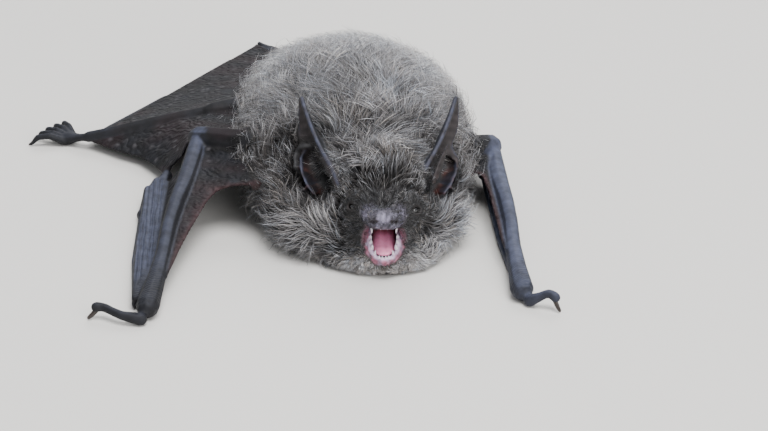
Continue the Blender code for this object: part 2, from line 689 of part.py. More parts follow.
def place_on_origin(objects):
    """Metres, with the origin under the middle of the bounding box, and smooth shading."""
    corners = [body.matrix_world @ Vector(c) for body in objects for c in body.bound_box]
    low = Vector([min(c[k] for c in corners) for k in range(3)])
    high = Vector([max(c[k] for c in corners) for k in range(3)])
    middle = (low + high) / 2
    shift = Matrix.Translation((-middle.x, -middle.y, -low.z))
    for body in objects:
        body.data.transform(Matrix.Scale(MM, 4) @ shift)
        body.data.shade_smooth()
        body.data.set_sharp_from_angle(angle=math.radians(CREASE))
    print("origin lies at", [round(v, 3) for v in (middle.x, middle.y, low.z)])


def main():
    for old in list(bpy.data.objects):
        bpy.data.objects.remove(old)
    build_core()
    build_tail()
    for side in SIDES:
        build_ear(side)
        build_arm(side)
        build_leg(side)
        build_fingers(side)
        build_arm_membranes(side)
        build_tail_membrane(side)
    bpy.context.view_layer.update()
    for body in bpy.data.objects:
        paint(body)
    place_on_origin(list(bpy.data.objects))


main()
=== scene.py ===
"""Dresses the whiskered bat: one skin with folds and lids, a coat of solid tufts, eyes, teeth, tongue,
claws and whiskers, on a pale floor.

Sizes are in millimetres in the maker's frame, where the nose stands over y = 0 on the floor and the
animal faces -Y. That frame is found from the eyes' boxes, and MM turns its lengths into metres.
"""

import math

import bpy
import numpy as np
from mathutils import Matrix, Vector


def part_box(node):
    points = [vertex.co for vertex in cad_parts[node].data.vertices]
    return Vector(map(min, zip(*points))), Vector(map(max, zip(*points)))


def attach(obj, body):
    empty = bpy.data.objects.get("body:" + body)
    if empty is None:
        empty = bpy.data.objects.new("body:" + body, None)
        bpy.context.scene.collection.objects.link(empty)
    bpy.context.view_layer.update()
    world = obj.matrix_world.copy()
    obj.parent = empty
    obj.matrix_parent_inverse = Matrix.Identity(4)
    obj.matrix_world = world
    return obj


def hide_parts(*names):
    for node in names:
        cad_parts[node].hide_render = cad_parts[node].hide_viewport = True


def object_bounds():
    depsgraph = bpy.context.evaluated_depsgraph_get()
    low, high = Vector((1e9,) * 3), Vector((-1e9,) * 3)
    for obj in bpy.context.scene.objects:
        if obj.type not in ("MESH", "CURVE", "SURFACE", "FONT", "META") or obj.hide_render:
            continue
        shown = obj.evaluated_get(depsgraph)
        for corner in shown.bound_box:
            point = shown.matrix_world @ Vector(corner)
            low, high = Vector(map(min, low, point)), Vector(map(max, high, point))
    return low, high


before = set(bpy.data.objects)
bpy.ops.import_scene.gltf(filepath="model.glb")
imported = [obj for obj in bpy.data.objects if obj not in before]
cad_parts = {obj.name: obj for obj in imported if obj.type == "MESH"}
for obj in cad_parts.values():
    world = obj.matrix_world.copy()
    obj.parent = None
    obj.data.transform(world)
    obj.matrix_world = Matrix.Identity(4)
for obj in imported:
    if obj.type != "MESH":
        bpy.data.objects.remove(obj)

import openvdb
from bpy.props import FloatProperty, FloatVectorProperty, IntProperty, PointerProperty
from mathutils import Matrix, Vector
from mathutils.kdtree import KDTree

bl_info = {
    "name": "Whiskered bat dressing",
    "version": (1, 0, 0),
    "blender": (4, 5, 0),
    "location": "View3D > Sidebar > Bat",
    "description": "Skin, coat, eyes, mouth, claws and stage of a life-size whiskered bat",
    "category": "Object",
}

MM = 0.001
CAD_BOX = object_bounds()
SIDES = {"right": -1, "left": 1}
EYES_IN_FRAME = np.array((0.0, 2.7, 7.2))  # the middle between the eyes, in the maker's frame


def box_middle(node):
    """The middle of a CAD node's box, in world millimetres."""
    low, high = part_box(node)
    return np.array((low + high) / 2) / MM


ORIGIN = (box_middle("eye_right") + box_middle("eye_left")) / 2 - EYES_IN_FRAME


def in_world(points):
    """Points of the maker's frame, in metres of the world."""
    return (np.asarray(points) + ORIGIN) * MM


COAT_NODES = ["head", "lower_jaw", "neck", "trunk"]
EAR_NODES = [f"{part}_{side}" for part in ("ear", "tragus") for side in SIDES]
LIMB_PARTS = ("upper_arm", "forearm", "thumb", "finger_2", "finger_3", "finger_4", "finger_5")
LIMB_PARTS += ("thigh", "shank", "foot", "calcar")
LIMB_NODES = ["tail"] + [f"{part}_{side}" for part in LIMB_PARTS for side in SIDES]
WEB_PARTS = ("propatagium", "plagiopatagium", "hand_membrane", "uropatagium")
WEB_NODES = [f"{part}_{side}" for part in WEB_PARTS for side in SIDES]


# ---------------------------------------------------------------- settings


def colour_setting(name, description, default):
    return FloatVectorProperty(
        name=name, description=description, default=default, subtype="COLOR", min=0, max=1
    )


def length_setting(name, description, default):
    return FloatProperty(name=name, description=description, default=default, unit="LENGTH", min=0)


def count_setting(name, description, default):
    return IntProperty(name=name, description=description, default=default, min=1)


def angle_setting(name, description, default):
    return FloatProperty(name=name, description=description, default=default, subtype="ANGLE")


class BatSkinSettings(bpy.types.PropertyGroup):
    grid: length_setting("Grid", "Edge of the cells that the skin is made from", 0.17 * MM)
    triangles: count_setting("Triangles", "Most triangles in the skin", 190000)
    coat_depth: length_setting("Coat depth", "Height of the coat over the skin of the back", 2.7 * MM)
    dark: colour_setting("Dark skin", "Arms, fingers and feet", (0.0075, 0.0078, 0.011))
    # the slate colour is partly the skin's own bluish grey and partly painted sheen: it is laid on the lit,
    # upward parts of the arms and as a painted highlight along the ear rims
    sheen: colour_setting("Slate skin", "Raised parts of arms and rims of ears", (0.050, 0.057, 0.092))
    web: colour_setting("Membrane", "Wing and tail membranes", (0.0048, 0.0044, 0.0058))
    wart: colour_setting("Warts", "Small pale warts of the membranes", (0.06, 0.056, 0.062))
    rim: colour_setting("Membrane edge", "Thin edges of the membranes", (0.040, 0.019, 0.021))
    nose: colour_setting("Nose", "Nose pad and glands", (0.24, 0.22, 0.305))
    lips: colour_setting("Lips", "Lips", (0.29, 0.105, 0.155))
    gum: colour_setting("Gums", "Ridge of the lower jaw", (0.56, 0.42, 0.58))
    # the throat colour is dark red, partly painted shade at the back of the mouth
    throat: colour_setting("Throat", "Back of the mouth", (0.16, 0.012, 0.018))
    # the hollow of the ear: its own dark brown, partly painted shade in the hollow
    conch: colour_setting("Inside of the ear", "Hollow of the ear", (0.029, 0.023, 0.024))
    ear_root: colour_setting("Root of the ear", "Reddish skin low in the ear", (0.085, 0.024, 0.018))


class BatCoatSettings(bpy.types.PropertyGroup):
    tufts: count_setting("Tufts", "Tufts of the long coat", 80000)
    face_tufts: count_setting("Face tufts", "Tufts of the short coat of the face", 17000)
    velvet: count_setting("Velvet", "Finest short tufts round the muzzle", 40000)
    length: length_setting("Length", "Tufts of the back", 5.2 * MM)
    width: length_setting("Width", "Widest place of a tuft", 0.085 * MM)
    clump: FloatProperty(name="Clumping", description="How far the tips draw together", default=0.44)
    tousle: angle_setting("Tousle", "Turn of the locks from the lie", 0.95)
    root: colour_setting("Roots", "Dark base of the hairs", (0.0110, 0.0100, 0.0098))
    middle: colour_setting("Middle", "Middle of the hairs", (0.075, 0.069, 0.068))
    tip: colour_setting("Tips", "Pale tips of the back", (0.76, 0.755, 0.785))
    pale: colour_setting("Underside", "Tips of the ruff and the underside", (0.90, 0.905, 0.95))
    mask: colour_setting("Face", "Dark hairs of the face", (0.036, 0.0355, 0.0385))


class BatFaceSettings(bpy.types.PropertyGroup):
    eye_radius: length_setting("Eye radius", "Eyeball", 0.6 * MM)
    whisker: length_setting("Whisker", "Longest whiskers", 2.6 * MM)
    tongue: colour_setting("Tongue", "Tip of the tongue", (1.0, 0.35, 0.56))
    tooth: colour_setting("Teeth", "Enamel", (0.66, 0.60, 0.66))
    claw: colour_setting("Claws", "Horn", (0.028, 0.020, 0.017))


class BatStageSettings(bpy.types.PropertyGroup):
    floor: colour_setting("Floor", "Pale floor", (0.74, 0.72, 0.69))
    distance: length_setting("Distance", "Camera to the nose", 326.8 * MM)
    height: angle_setting("Height", "Camera over the horizon", math.radians(25))
    lens: FloatProperty(name="Lens", description="Focal length in millimetres", default=140.0)


# ---------------------------------------------------------------- where things are

CLOSING = 0.08  # more than half of the gap between two nodes
MARGIN = 1.6  # free room round the CAD box
COAT_REACH, BARE_REACH = 4.0, 2.4  # how far from the surface distances stay exact
FLOOR_GAP = 0.02  # the skin ends this far over the floor
WEB_THINNING = 0.09  # taken off the membranes away from the bones
COAT_OVER_SKIN = 0.12  # least height of the coat over the sculpted face
LIMB_JOIN = 0.35  # how far limbs blend into membranes
SUNK_JOIN, ARM_SINK = 1.5, 0.4  # how much farther the upper arms blend, and how far they sink in
KNUCKLE_RADIUS, FINGER_SHEET, HAND_JOIN = 0.5, 0.14, 0.7  # radii in the folded hand, and how far they blend
TOE_FULLNESS, TOE_LENGTH = 0.14, 7.5  # added round the toes, and their reach from the ankle
HEAD_BOX = ((-11, 0, 4), (11, 14, 14))  # holds the ears' hollows
FACE_BOX = ((-6, -3.5, 0), (6, 9, 12))  # holds the nose, the eyes and the mouth
FORM = {}  # the grid, the fields and the skin, made once and shared by the operators

EAR_MIDDLE = -0.6  # x of the plane between the ears
EAR_FRONT_EDGE = [(3.1, 5.0, 6.3), (3.9, 4.4, 7.9), (5.2, 7.2, 10.0), (6.4, 9.2, 11.4)]
EAR_FRONT_EDGE += [(7.4, 11.0, 12.8), (8.3, 13.2, 14.6), (8.75, 14.8, 15.6)]
EAR_BACK_EDGE = [(7.3, 8.5, 6.3), (8.2, 9.6, 7.2), (8.7, 10.9, 7.9), (8.8, 12.1, 9.1)]
EAR_BACK_EDGE += [(8.2, 12.3, 10.3), (9.0, 14.0, 12.2), (9.0, 15.15, 15.2)]
LOBE_POINTS = 5  # points of the back edge that bound the lobe
LOBE_WAY = (-1.7, 1.7, -0.7)  # from the lobe's rim to its root: inwards, back and down
# centres and radii of the hollow, from the back of the ear to its mouth
EAR_HOLLOW = [((8.2, 11.6, 9.2), 1.3), ((8.0, 10.3, 8.0), 1.65), ((6.9, 8.7, 6.9), 1.5)]
HOLLOW_WAY = np.array((0, -3.6, 1.7))  # the way that the ears open, and how far the coat stays out of it

SHOULDER = {"right": (-8.5, 12.5, 7.0), "left": (4.5, 12.0, 7.0)}
ELBOW = {"right": (-21.5, 23.0, 6.9), "left": (12.6, 25.8, 4.6)}
WRIST = {"right": (-25.4, -9.6, 1.3), "left": (15.0, -5.4, 1.3)}
KNEE = {"right": (-20.6, 34.0, 5.4), "left": (7.6, 38.4, 5.0)}
ANKLE = {"right": (-35.8, 35.4, 1.6), "left": (3.6, 52.8, 1.6)}
TOES = {"right": (-0.84, 0.54, 0.0), "left": (-0.08, 1.0, 0.0)}  # the way that the toes point
SOLE_REACH, SOLE_DROP = 3.2, 0.95  # from the ankle to the middle of the sole
TOE_SPACING, TOE_SPREAD = 0.45, 0.3  # between the roots of the toes, and how they fan out
KNUCKLES = {
    "right": [(-27.8, 15.0, 0.75), (-27.3, 20.0, 1.3), (-26.4, 22.4, 1.4), (-25.4, 24.2, 1.4)],
    "left": [(13.9, 18.0, 0.7), (13.3, 23.6, 1.1), (12.4, 24.7, 1.2), (11.6, 25.3, 1.2)],
}
BETWEEN_FINGERS = {
    "right": (
        [(-26.6, -7.0, 1.2), (-27.05, 5.2, 1.35), (-26.95, 20.6, 1.5)],
        [(-25.9, -6.2, 1.2), (-26.15, 6.0, 1.3), (-26.05, 22.6, 1.5)],
    ),
    "left": (
        [(15.4, -3.0, 0.8), (14.2, 8.0, 0.9), (12.9, 23.8, 1.1)],
        [(14.8, -2.6, 0.8), (13.4, 8.0, 0.9), (12.1, 24.6, 1.1)],
    ),
}
# the edges of the folded membrane, at the last finger and at the forearm
FOLD = (
    np.array([(-25.7, -5.0, 1.0), (-25.8, 6.0, 1.1), (-25.4, 21.5, 1.3)]),
    np.array([(-24.9, -5.0, 1.6), (-23.9, 6.0, 3.2), (-22.5, 21.5, 5.4)]),
)
# the front edges of the membranes, from the shoulder to the wrist
FRONT_EDGE = {
    "right": [(-9.0, 9.5, 6.8), (-15.2, 10.6, 6.5), (-18.8, 11.2, 5.5), (-20.6, 6.8, 4.6)],
    "left": [(4.0, 12.0, 6.0), (8.6, 16.4, 5.7), (11.3, 17.4, 4.5), (12.4, 10.4, 3.2)],
}
FRONT_EDGE["right"] += [(-22.3, 1.0, 3.4), (-24.2, -6.6, 2.0)]
FRONT_EDGE["left"] += [(13.1, 4.2, 2.6), (14.3, -2.6, 1.9)]

EYE_PLACES = {"right": (-3.2, 2.7, 7.4), "left": (3.2, 2.7, 7.0)}
LID, LID_JOIN = 0.22, 0.9  # thickness of the lids, and how far they blend into the face
OPENING, OPENING_HEIGHT = 0.45, 0.7  # half width between the lids, and height over width
BALL_GAP = 0.02  # between the ball and the lids
MOUTH_LINE = [(0, -2.5, 4.7), (0, 2.0, 4.6), (0, 7.0, 4.3)]
NOSE_FORMS = (
    # centre, radii, how far it blends
    ((0, -1.15, 8.0), (1.3, 0.8, 0.7), 0.9),
    ((-1.45, 0.0, 7.75), (0.8, 1.2, 0.66), 1.3),
    ((1.45, 0.0, 7.75), (0.8, 1.2, 0.66), 1.3),
    ((0, -0.95, 7.2), (1.5, 0.7, 0.45), 0.5),
)
CHIN_FORM = ((0, 0.5, 1.7), (1.3, 1.2, 0.6), 0.6)
NOSTRIL, NOSTRIL_RADII = [(0.7, -2.1, 7.8), (1.25, -1.5, 7.6)], (0.13, 0.22)
NOSTRIL_WALL = [(0.75, -1.8, 8.2), (1.35, -1.45, 8.0)]
NOSE_GROOVE = [(0, -2.2, 8.75), (0, -2.15, 7.9), (0, -1.8, 7.0)]
UPPER_LIP = [(-1.95, 0.9, 6.3), (-1.7, -0.35, 6.85), (-0.9, -1.1, 6.92), (0, -1.3, 6.9)]
LOWER_LIP = [(-1.95, 0.9, 6.3), (-2.0, 1.3, 5.1), (-1.84, 0.9, 3.9), (-1.56, 0.1, 3.0)]
LOWER_LIP += [(-0.9, -0.57, 2.46), (0, -0.78, 2.32)]
GUM = [(-1.6, 3.2, 5.1), (-1.58, 1.5, 4.7), (-1.52, 0.6, 4.0), (-1.34, 0.03, 3.24)]
GUM += [(-0.84, -0.47, 2.74), (0, -0.65, 2.62)]
GUM_RADIUS = 0.21
FACE_ROLLS = ((UPPER_LIP, 0.3, 0.5), (LOWER_LIP, 0.28, 0.5), (GUM, GUM_RADIUS, 0.15))  # chain, radius, blend
KNOB_HEIGHT = 0.05  # of the small knobs on the nose


def on_side(chain, sign, middle=0.0):
    """A chain given for the left, on the side of this sign."""
    return [(middle + sign * across, y, z) for across, y, z in chain]


def both_sides(chain):
    """The chain and its mirror image, joined in the middle."""
    return chain + [(-x, y, z) for x, y, z in reversed(chain[:-1])]


def direction(way):
    """The same way with length 1."""
    return np.array(way) / np.linalg.norm(way)


def eye_way(side):
    """The way that an eye looks: out, ahead and up."""
    return direction((SIDES[side] * 0.64, -0.68, 0.36))


# ---------------------------------------------------------------- shares and distances


def ramp(value, low, high):
    """0 below low, 1 above high and smooth between."""
    t = np.clip((value - low) / (high - low), 0.0, 1.0)
    return t * t * (3 - 2 * t)


def fade(value, low, high):
    """1 below low, 0 above high and smooth between."""
    return 1 - ramp(value, low, high)


def smooth_min(a, b, width):
    """The smaller of two distances, rounded where they meet."""
    near = np.maximum(width - np.abs(a - b), 0.0) / width
    return np.minimum(a, b) - near * near * width * 0.25


def smooth_cut(a, b, width):
    """What is left of the first form without the second, rounded where they meet."""
    return -smooth_min(-a, b, width)


def waves(points, size, seed):
    """A soft uneven pattern between about -1 and 1, with features of this size."""
    rng = np.random.default_rng(seed)
    total = 0.0
    for _ in range(6):
        way = rng.normal(size=3)
        way /= np.linalg.norm(way)
        pace = math.tau / size * rng.uniform(0.6, 1.5)
        total = total + np.sin(points @ way * pace + rng.uniform(0, math.tau))
    return total / 2.6


def away(points, centre, radii=1.0):
    """Distance from a centre, in radii."""
    return np.linalg.norm((points - np.array(centre)) / radii, axis=1)


def bell(points, centre, radii):
    """A share that is 1 at a centre and falls off softly over the radii."""
    return np.exp(-(((points - np.array(centre)) / radii) ** 2).sum(axis=1))


def tube_distance(axes, points, radii):
    """Distance to a chain of tapered round rods, with one radius or one for each point."""
    x, y, z = axes
    radii = [radii] * len(points) if isinstance(radii, float) else radii
    best = None
    for (a, b), (r, s) in zip(zip(points, points[1:]), zip(radii, radii[1:])):
        a, b = np.array(a, float), np.array(b, float)
        d = b - a
        t = ((x - a[0]) * d[0] + (y - a[1]) * d[1] + (z - a[2]) * d[2]) / (d @ d)
        t = np.clip(t, 0, 1)
        gap = np.sqrt((x - a[0] - t * d[0]) ** 2 + (y - a[1] - t * d[1]) ** 2 + (z - a[2] - t * d[2]) ** 2)
        gap = gap - (r + (s - r) * t)
        best = gap if best is None else np.minimum(best, gap)
    return best


def bulb_distance(axes, centre, radii):
    """Distance to an ellipsoid, near enough for blending."""
    px, py, pz = (axis - middle for axis, middle in zip(axes, centre))
    a, b, c = radii
    scaled = np.sqrt((px / a) ** 2 + (py / b) ** 2 + (pz / c) ** 2)
    steep = np.sqrt((px / a**2) ** 2 + (py / b**2) ** 2 + (pz / c**2) ** 2)
    return scaled * (scaled - 1) / np.maximum(steep, 1e-6)


def nose_distance(axes):
    """Distance to the nose pad and its glands."""
    return np.minimum.reduce([bulb_distance(axes, centre, radii) for centre, radii, _ in NOSE_FORMS])


def nostril_distance(axes, sign):
    """Distance to the pit of one nostril."""
    return tube_distance(axes, on_side(NOSTRIL, sign), NOSTRIL_RADII)


def hollow_distance(axes):
    """Distance to the slots in front of the ears."""
    slots = []
    for sign in SIDES.values():
        for middle, radius in EAR_HOLLOW:
            inner = np.array(on_side([middle], sign, EAR_MIDDLE)[0])
            slots.append(tube_distance(axes, [inner, inner + HOLLOW_WAY], (radius, radius * 1.15)))
    return np.minimum.reduce(slots)


# ---------------------------------------------------------------- forms on a grid


class Grid:
    """The regular grid of the fields, in the maker's frame."""

    def __init__(self, cell):
        low, high = (np.array(corner) / MM - ORIGIN for corner in CAD_BOX)
        self.cell = cell
        first = np.floor((low - MARGIN) / cell).astype(int)
        self.shape = tuple(np.ceil((high + MARGIN) / cell).astype(int) - first)
        self.start = first * cell
        self.corner = tuple(int(i) for i in first)
        rows = (cell * np.arange(size, dtype=np.float32) for size in self.shape)
        self.axes = np.ix_(*(place + row for place, row in zip(self.start, rows)))

    def box(self, low, high, more=1):
        """The slices of the grid that hold a box, and the axes cut to them."""
        ends = [
            (int((a - start) / self.cell), int((b - start) / self.cell) + more)
            for a, b, start in zip(low, high, self.start)
        ]
        part = tuple(slice(max(a, 0), min(b, size)) for (a, b), size in zip(ends, self.shape))
        x, y, z = self.axes
        return part, (x[part[0]], y[:, part[1]], z[:, :, part[2]])

    def round(self, points, margin):
        """The slices that hold these points and a margin round them, and the axes cut to them."""
        return self.box(np.min(points, axis=0) - margin, np.max(points, axis=0) + margin)


class Field:
    """Signed distances to a surface, in millimetres, on the grid."""

    def __init__(self, values, grid):
        self.values, self.low, self.cell = np.ascontiguousarray(values, np.float32), grid.start, grid.cell

    def at(self, points):
        """Distances at points, blended between the grid's corners."""
        top = np.array(self.values.shape) - 2
        place = (points - self.low) / self.cell
        corner = np.clip(np.floor(place).astype(np.int64), 0, top)
        u, v, w = np.clip(place - corner, 0, 1).T
        strides = (self.values.shape[1] * self.values.shape[2], self.values.shape[2], 1)
        flat = self.values.reshape(-1)
        base = corner @ np.array(strides)
        total = 0.0
        for i in (0, 1):
            for j in (0, 1):
                for k in (0, 1):
                    weight = (u if i else 1 - u) * (v if j else 1 - v) * (w if k else 1 - w)
                    total = total + weight * flat[base + i * strides[0] + j * strides[1] + k]
        return total

    def slope(self, points):
        """Unit direction away from the surface."""
        out = np.empty_like(points)
        for axis in range(3):
            offset = np.zeros(3)
            offset[axis] = self.cell
            out[:, axis] = self.at(points + offset) - self.at(points - offset)
        return out / np.maximum(np.linalg.norm(out, axis=1, keepdims=True), 1e-6)


def mesh_arrays(mesh):
    """Vertices in metres and triangles of a mesh."""
    mesh.calc_loop_triangles()
    place = np.empty(len(mesh.vertices) * 3, np.float32)
    mesh.vertices.foreach_get("co", place)
    corner = np.empty(len(mesh.loop_triangles) * 3, np.int32)
    mesh.loop_triangles.foreach_get("vertices", corner)
    return place.reshape(-1, 3), corner.reshape(-1, 3)


def node_values(names, grid, reach):
    """Distances to the outline of these nodes taken together, exact up to the reach.

    The narrow cuts between the nodes are closed first, so that they don't count as surface.
    """
    points, faces, count = [], [], 0
    for name in names:
        place, corner = mesh_arrays(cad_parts[name].data)
        points.append(place / MM - ORIGIN)
        faces.append(corner + count)
        count += len(place)
    points = np.concatenate(points).astype(np.float32)
    faces = np.concatenate(faces).astype(np.uint32)
    turn = openvdb.createLinearTransform(voxelSize=grid.cell)
    build = openvdb.FloatGrid.createLevelSetFromPolygons
    points, quads = build(points, triangles=faces, transform=turn, halfWidth=3.0).convertToQuads(CLOSING)
    level = build(points, quads=quads, transform=turn, halfWidth=reach / grid.cell)
    values = np.empty(grid.shape, np.float32)
    level.copyToArray(values, ijk=grid.corner)
    return values + CLOSING


def coat_height(axes):
    """Height of the coat over the skin, in millimetres, before bare parts thin it."""
    depth = bpy.context.scene.bat_skin.coat_depth / MM
    mouth = tube_distance(axes, MOUTH_LINE, 0.0)
    height = depth * (0.06 + 0.94 * ramp(mouth, 2.6, 7.0))
    crown = bulb_distance(axes, (0, 7.5, 11.0), (5.0, 5.5, 4.0))
    height = height * (0.55 + 0.45 * ramp(crown, 0.0, 4.0))
    x, y, z = axes
    for place in EYE_PLACES.values():
        gap = np.sqrt((x - place[0]) ** 2 + (y - place[1]) ** 2 + (z - place[2]) ** 2)
        height = height * (0.05 + 0.95 * ramp(gap, 1.0, 2.6))
    return height * (0.3 + 0.7 * ramp(z, 0.6, 4.5))


def sculpt_face(skin, axes):
    """Nose, glands, lips, gums, lids and nostrils, on the grid near the face."""
    for centre, radii, width in (*NOSE_FORMS, CHIN_FORM):
        skin = smooth_min(skin, bulb_distance(axes, centre, radii), width)
    for chain, radius, width in FACE_ROLLS:
        skin = smooth_min(skin, tube_distance(axes, both_sides(chain), radius), width)
    x, y, z = axes
    knobs = np.sin(8.5 * x + 3 * z + 1) * np.sin(9 * z + 2.5 * y)
    knobs = knobs + 0.7 * np.sin(13 * y + 6 * x) * np.sin(11 * z - 5 * x)
    skin = skin + KNOB_HEIGHT * knobs * fade(nose_distance(axes), 0.1, 0.6)
    skin = smooth_cut(skin, tube_distance(axes, NOSE_GROOVE, (0.1, 0.13, 0.08)), 0.25)
    for side in SIDES:
        skin = sculpt_eye(skin, axes, side)
    for sign in SIDES.values():
        skin = smooth_cut(skin, nostril_distance(axes, sign), 0.12)
        skin = smooth_min(skin, tube_distance(axes, on_side(NOSTRIL_WALL, sign), 0.2), 0.25)
    return skin


def sculpt_eye(skin, axes, side):
    """A round pair of lids, open towards the way that the eye looks, with room for the ball."""
    radius = bpy.context.scene.bat_face.eye_radius / MM
    out = eye_way(side)
    across = direction(np.cross(out, (0, 0, 1)))
    up = np.cross(across, out)
    px, py, pz = (axis - middle for axis, middle in zip(axes, EYE_PLACES[side]))
    ball = np.sqrt(px**2 + py**2 + pz**2)
    along, wide, high = (px * way[0] + py * way[1] + pz * way[2] for way in (out, across, up))
    skin = smooth_min(skin, ball - radius - LID, LID_JOIN)
    opening = np.maximum(np.sqrt(wide**2 + (high / OPENING_HEIGHT) ** 2) - OPENING, -along)
    return np.maximum(smooth_cut(skin, opening, 0.1), radius + BALL_GAP - ball)


def add_sheet(values, grid, low, high, count, sag, radius, width):
    """Adds a thin curved sheet between two chains, as rods laid close together."""
    part, axes = grid.round(np.concatenate([low, high]), 2)
    for share in np.linspace(0, 1, count):
        chain = low * (1 - share) + high * share
        chain += np.array(sag) * share * (1 - share)
        values[part] = smooth_min(values[part], tube_distance(axes, chain, radius), width)


def add_lobes(ears, grid):
    """Adds the curved lobes that close the ears below."""
    for sign in SIDES.values():
        rim = np.array(on_side(EAR_BACK_EDGE[:LOBE_POINTS], sign, EAR_MIDDLE))
        root = rim + np.array(LOBE_WAY) * (sign, 1, 1)
        add_sheet(ears, grid, rim, root, count=12, sag=(0, 1.6, 0), radius=0.14, width=0.2)


def draw_fingers_together(limbs, grid):
    """Draws the folded fingers together into one pleated hand."""
    for side in SIDES:
        chains = [(chain, FINGER_SHEET) for chain in BETWEEN_FINGERS[side]]
        chains = [(KNUCKLES[side], KNUCKLE_RADIUS), *chains]
        part, axes = grid.round(np.concatenate([chain for chain, _ in chains]), 2)
        for chain, radius in chains:
            limbs[part] = smooth_min(limbs[part], tube_distance(axes, chain, radius), HAND_JOIN)


def fill_toes(limbs, grid):
    """Fills out the thin toes."""
    for side in SIDES:
        ankle, ahead = np.array(ANKLE[side]), direction(TOES[side])
        part, (px, py, _) = grid.round([ankle, ankle + ahead * TOE_LENGTH], 3)
        along = (px - ankle[0]) * ahead[0] + (py - ankle[1]) * ahead[1]
        limbs[part] -= TOE_FULLNESS * ramp(along, 1.5, 3.5) * fade(along, 6.0, 7.4)


def sink_arms(limbs, grid):
    """Sinks the upper arms into the membranes, and says how softly limbs and membranes join."""
    width = np.full(limbs.shape, LIMB_JOIN, np.float32)
    for side in SIDES:
        shoulder, elbow = np.array(SHOULDER[side]), np.array(ELBOW[side])
        part, (px, py, pz) = grid.round([shoulder, elbow], 4)
        arm = elbow - shoulder
        share = (px - shoulder[0]) * arm[0] + (py - shoulder[1]) * arm[1] + (pz - shoulder[2]) * arm[2]
        near = fade(tube_distance((px, py, pz), [shoulder, elbow], 1.3), 0.0, 1.6)
        near = near * fade(share / (arm @ arm), 0.65, 0.95)
        limbs[part] += ARM_SINK * near
        width[part] += SUNK_JOIN * near
    return width


def body_form():
    """Makes the distance fields of the coat's outline, the bare parts and the skin, once."""
    if "skin" in FORM:
        return FORM
    grid = Grid(bpy.context.scene.bat_skin.grid / MM)
    coat = node_values(COAT_NODES, grid, COAT_REACH)
    bare_nodes = (LIMB_NODES, WEB_NODES, EAR_NODES)
    limbs, webs, ears = (node_values(names, grid, BARE_REACH) for names in bare_nodes)
    head, axes = grid.box(*HEAD_BOX)
    coat[head] = smooth_cut(coat[head], hollow_distance(axes), 0.6)
    webs = webs + WEB_THINNING * ramp(limbs, 0.3, 1.0)
    # the membrane hangs folded between the last finger and the forearm
    add_sheet(webs, grid, *FOLD, count=21, sag=(0, 0, -1.6), radius=0.18, width=0.3)
    add_lobes(ears, grid)
    draw_fingers_together(limbs, grid)
    fill_toes(limbs, grid)
    width = sink_arms(limbs, grid)
    bare = smooth_min(smooth_min(limbs, webs, width), ears, 0.3)
    height = coat_height(grid.axes).astype(np.float32)
    height *= ramp(bare, 0.3, 2.4)
    skin = smooth_min(coat + height, bare, 0.6)
    face, axes = grid.box(*FACE_BOX, more=0)
    skin[face] = sculpt_face(skin[face], axes)
    coat[face] = np.minimum(coat[face], skin[face] - COAT_OVER_SKIN)
    skin = np.maximum(skin, FLOOR_GAP - grid.axes[2])
    for name, values in (("coat", coat), ("limbs", limbs), ("webs", webs), ("ears", ears), ("skin", skin)):
        FORM[name] = Field(values, grid)
    FORM["grid"] = grid
    return FORM


def mesh_from(name, points, faces):
    """A smooth mesh from points in the maker's frame and triangles."""
    mesh = bpy.data.meshes.new(name)
    mesh.vertices.add(len(points))
    mesh.vertices.foreach_set("co", in_world(points).astype(np.float32).ravel())
    mesh.loops.add(len(faces) * 3)
    mesh.loops.foreach_set("vertex_index", np.asarray(faces, np.int32).ravel())
    mesh.polygons.add(len(faces))
    mesh.polygons.foreach_set("loop_start", np.arange(0, len(faces) * 3, 3, dtype=np.int32))
    mesh.polygons.foreach_set("use_smooth", np.ones(len(faces), bool))
    mesh.update(calc_edges=True)
    return mesh


def shown(name, mesh, material, slot, *nodes):
    """The finished piece, riding on the body and standing for these nodes."""
    piece = bpy.data.objects.new(name, mesh)
    bpy.context.scene.collection.objects.link(piece)
    if not mesh.materials:
        mesh.materials.append(material)
    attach(piece, "root")
    if nodes:
        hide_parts(*nodes)


def keep(mesh, name, values):
    """Stores one number for each vertex."""
    layer = mesh.attributes.new(name, "FLOAT", "POINT")
    layer.data.foreach_set("value", np.asarray(values, np.float32))


def keep_colour(mesh, values):
    """Stores the tint, one colour for each vertex."""
    layer = mesh.attributes.new("tint", "FLOAT_COLOR", "POINT")
    rgba = np.ones((len(values), 4), np.float32)
    rgba[:, :3] = np.clip(values, 0, 1)
    layer.data.foreach_set("color", rgba.ravel())


def blend(first, second, share):
    """Between two rows of colours or directions, by a share for each row."""
    share = np.asarray(share, float)
    share = share[:, None] if share.ndim else share
    return np.asarray(first) * (1 - share) + np.asarray(second) * share


def unit(vectors):
    """The same directions with length 1."""
    return vectors / np.maximum(np.linalg.norm(vectors, axis=1, keepdims=True), 1e-9)


# ---------------------------------------------------------------- finishes


def add_node(tree, kind, values=None, **settings):
    """A node with these settings and these values on its sockets."""
    node = tree.nodes.new(kind)
    for name, value in settings.items():
        setattr(node, name, value)
    for socket, value in (values or {}).items():
        node.inputs[socket].default_value = value
    return node


def join(tree, *rows):
    """Links an output of a node to an input of another, for each row."""
    for source, output, target, socket in rows:
        tree.links.new(source.outputs[output], target.inputs[socket])


def new_group(name, inputs, outputs, kind="ShaderNodeTree"):
    """A node group and its two ends. Sockets are for numbers, unless their kind follows a colon."""
    group = bpy.data.node_groups.new(name, kind)
    for way, names in (("INPUT", inputs), ("OUTPUT", outputs)):
        for socket in names:
            label, _, content = socket.partition(":")
            socket_type = f"NodeSocket{content or 'Float'}"
            group.interface.new_socket(label, in_out=way, socket_type=socket_type)
    return group, add_node(group, "NodeGroupInput"), add_node(group, "NodeGroupOutput")


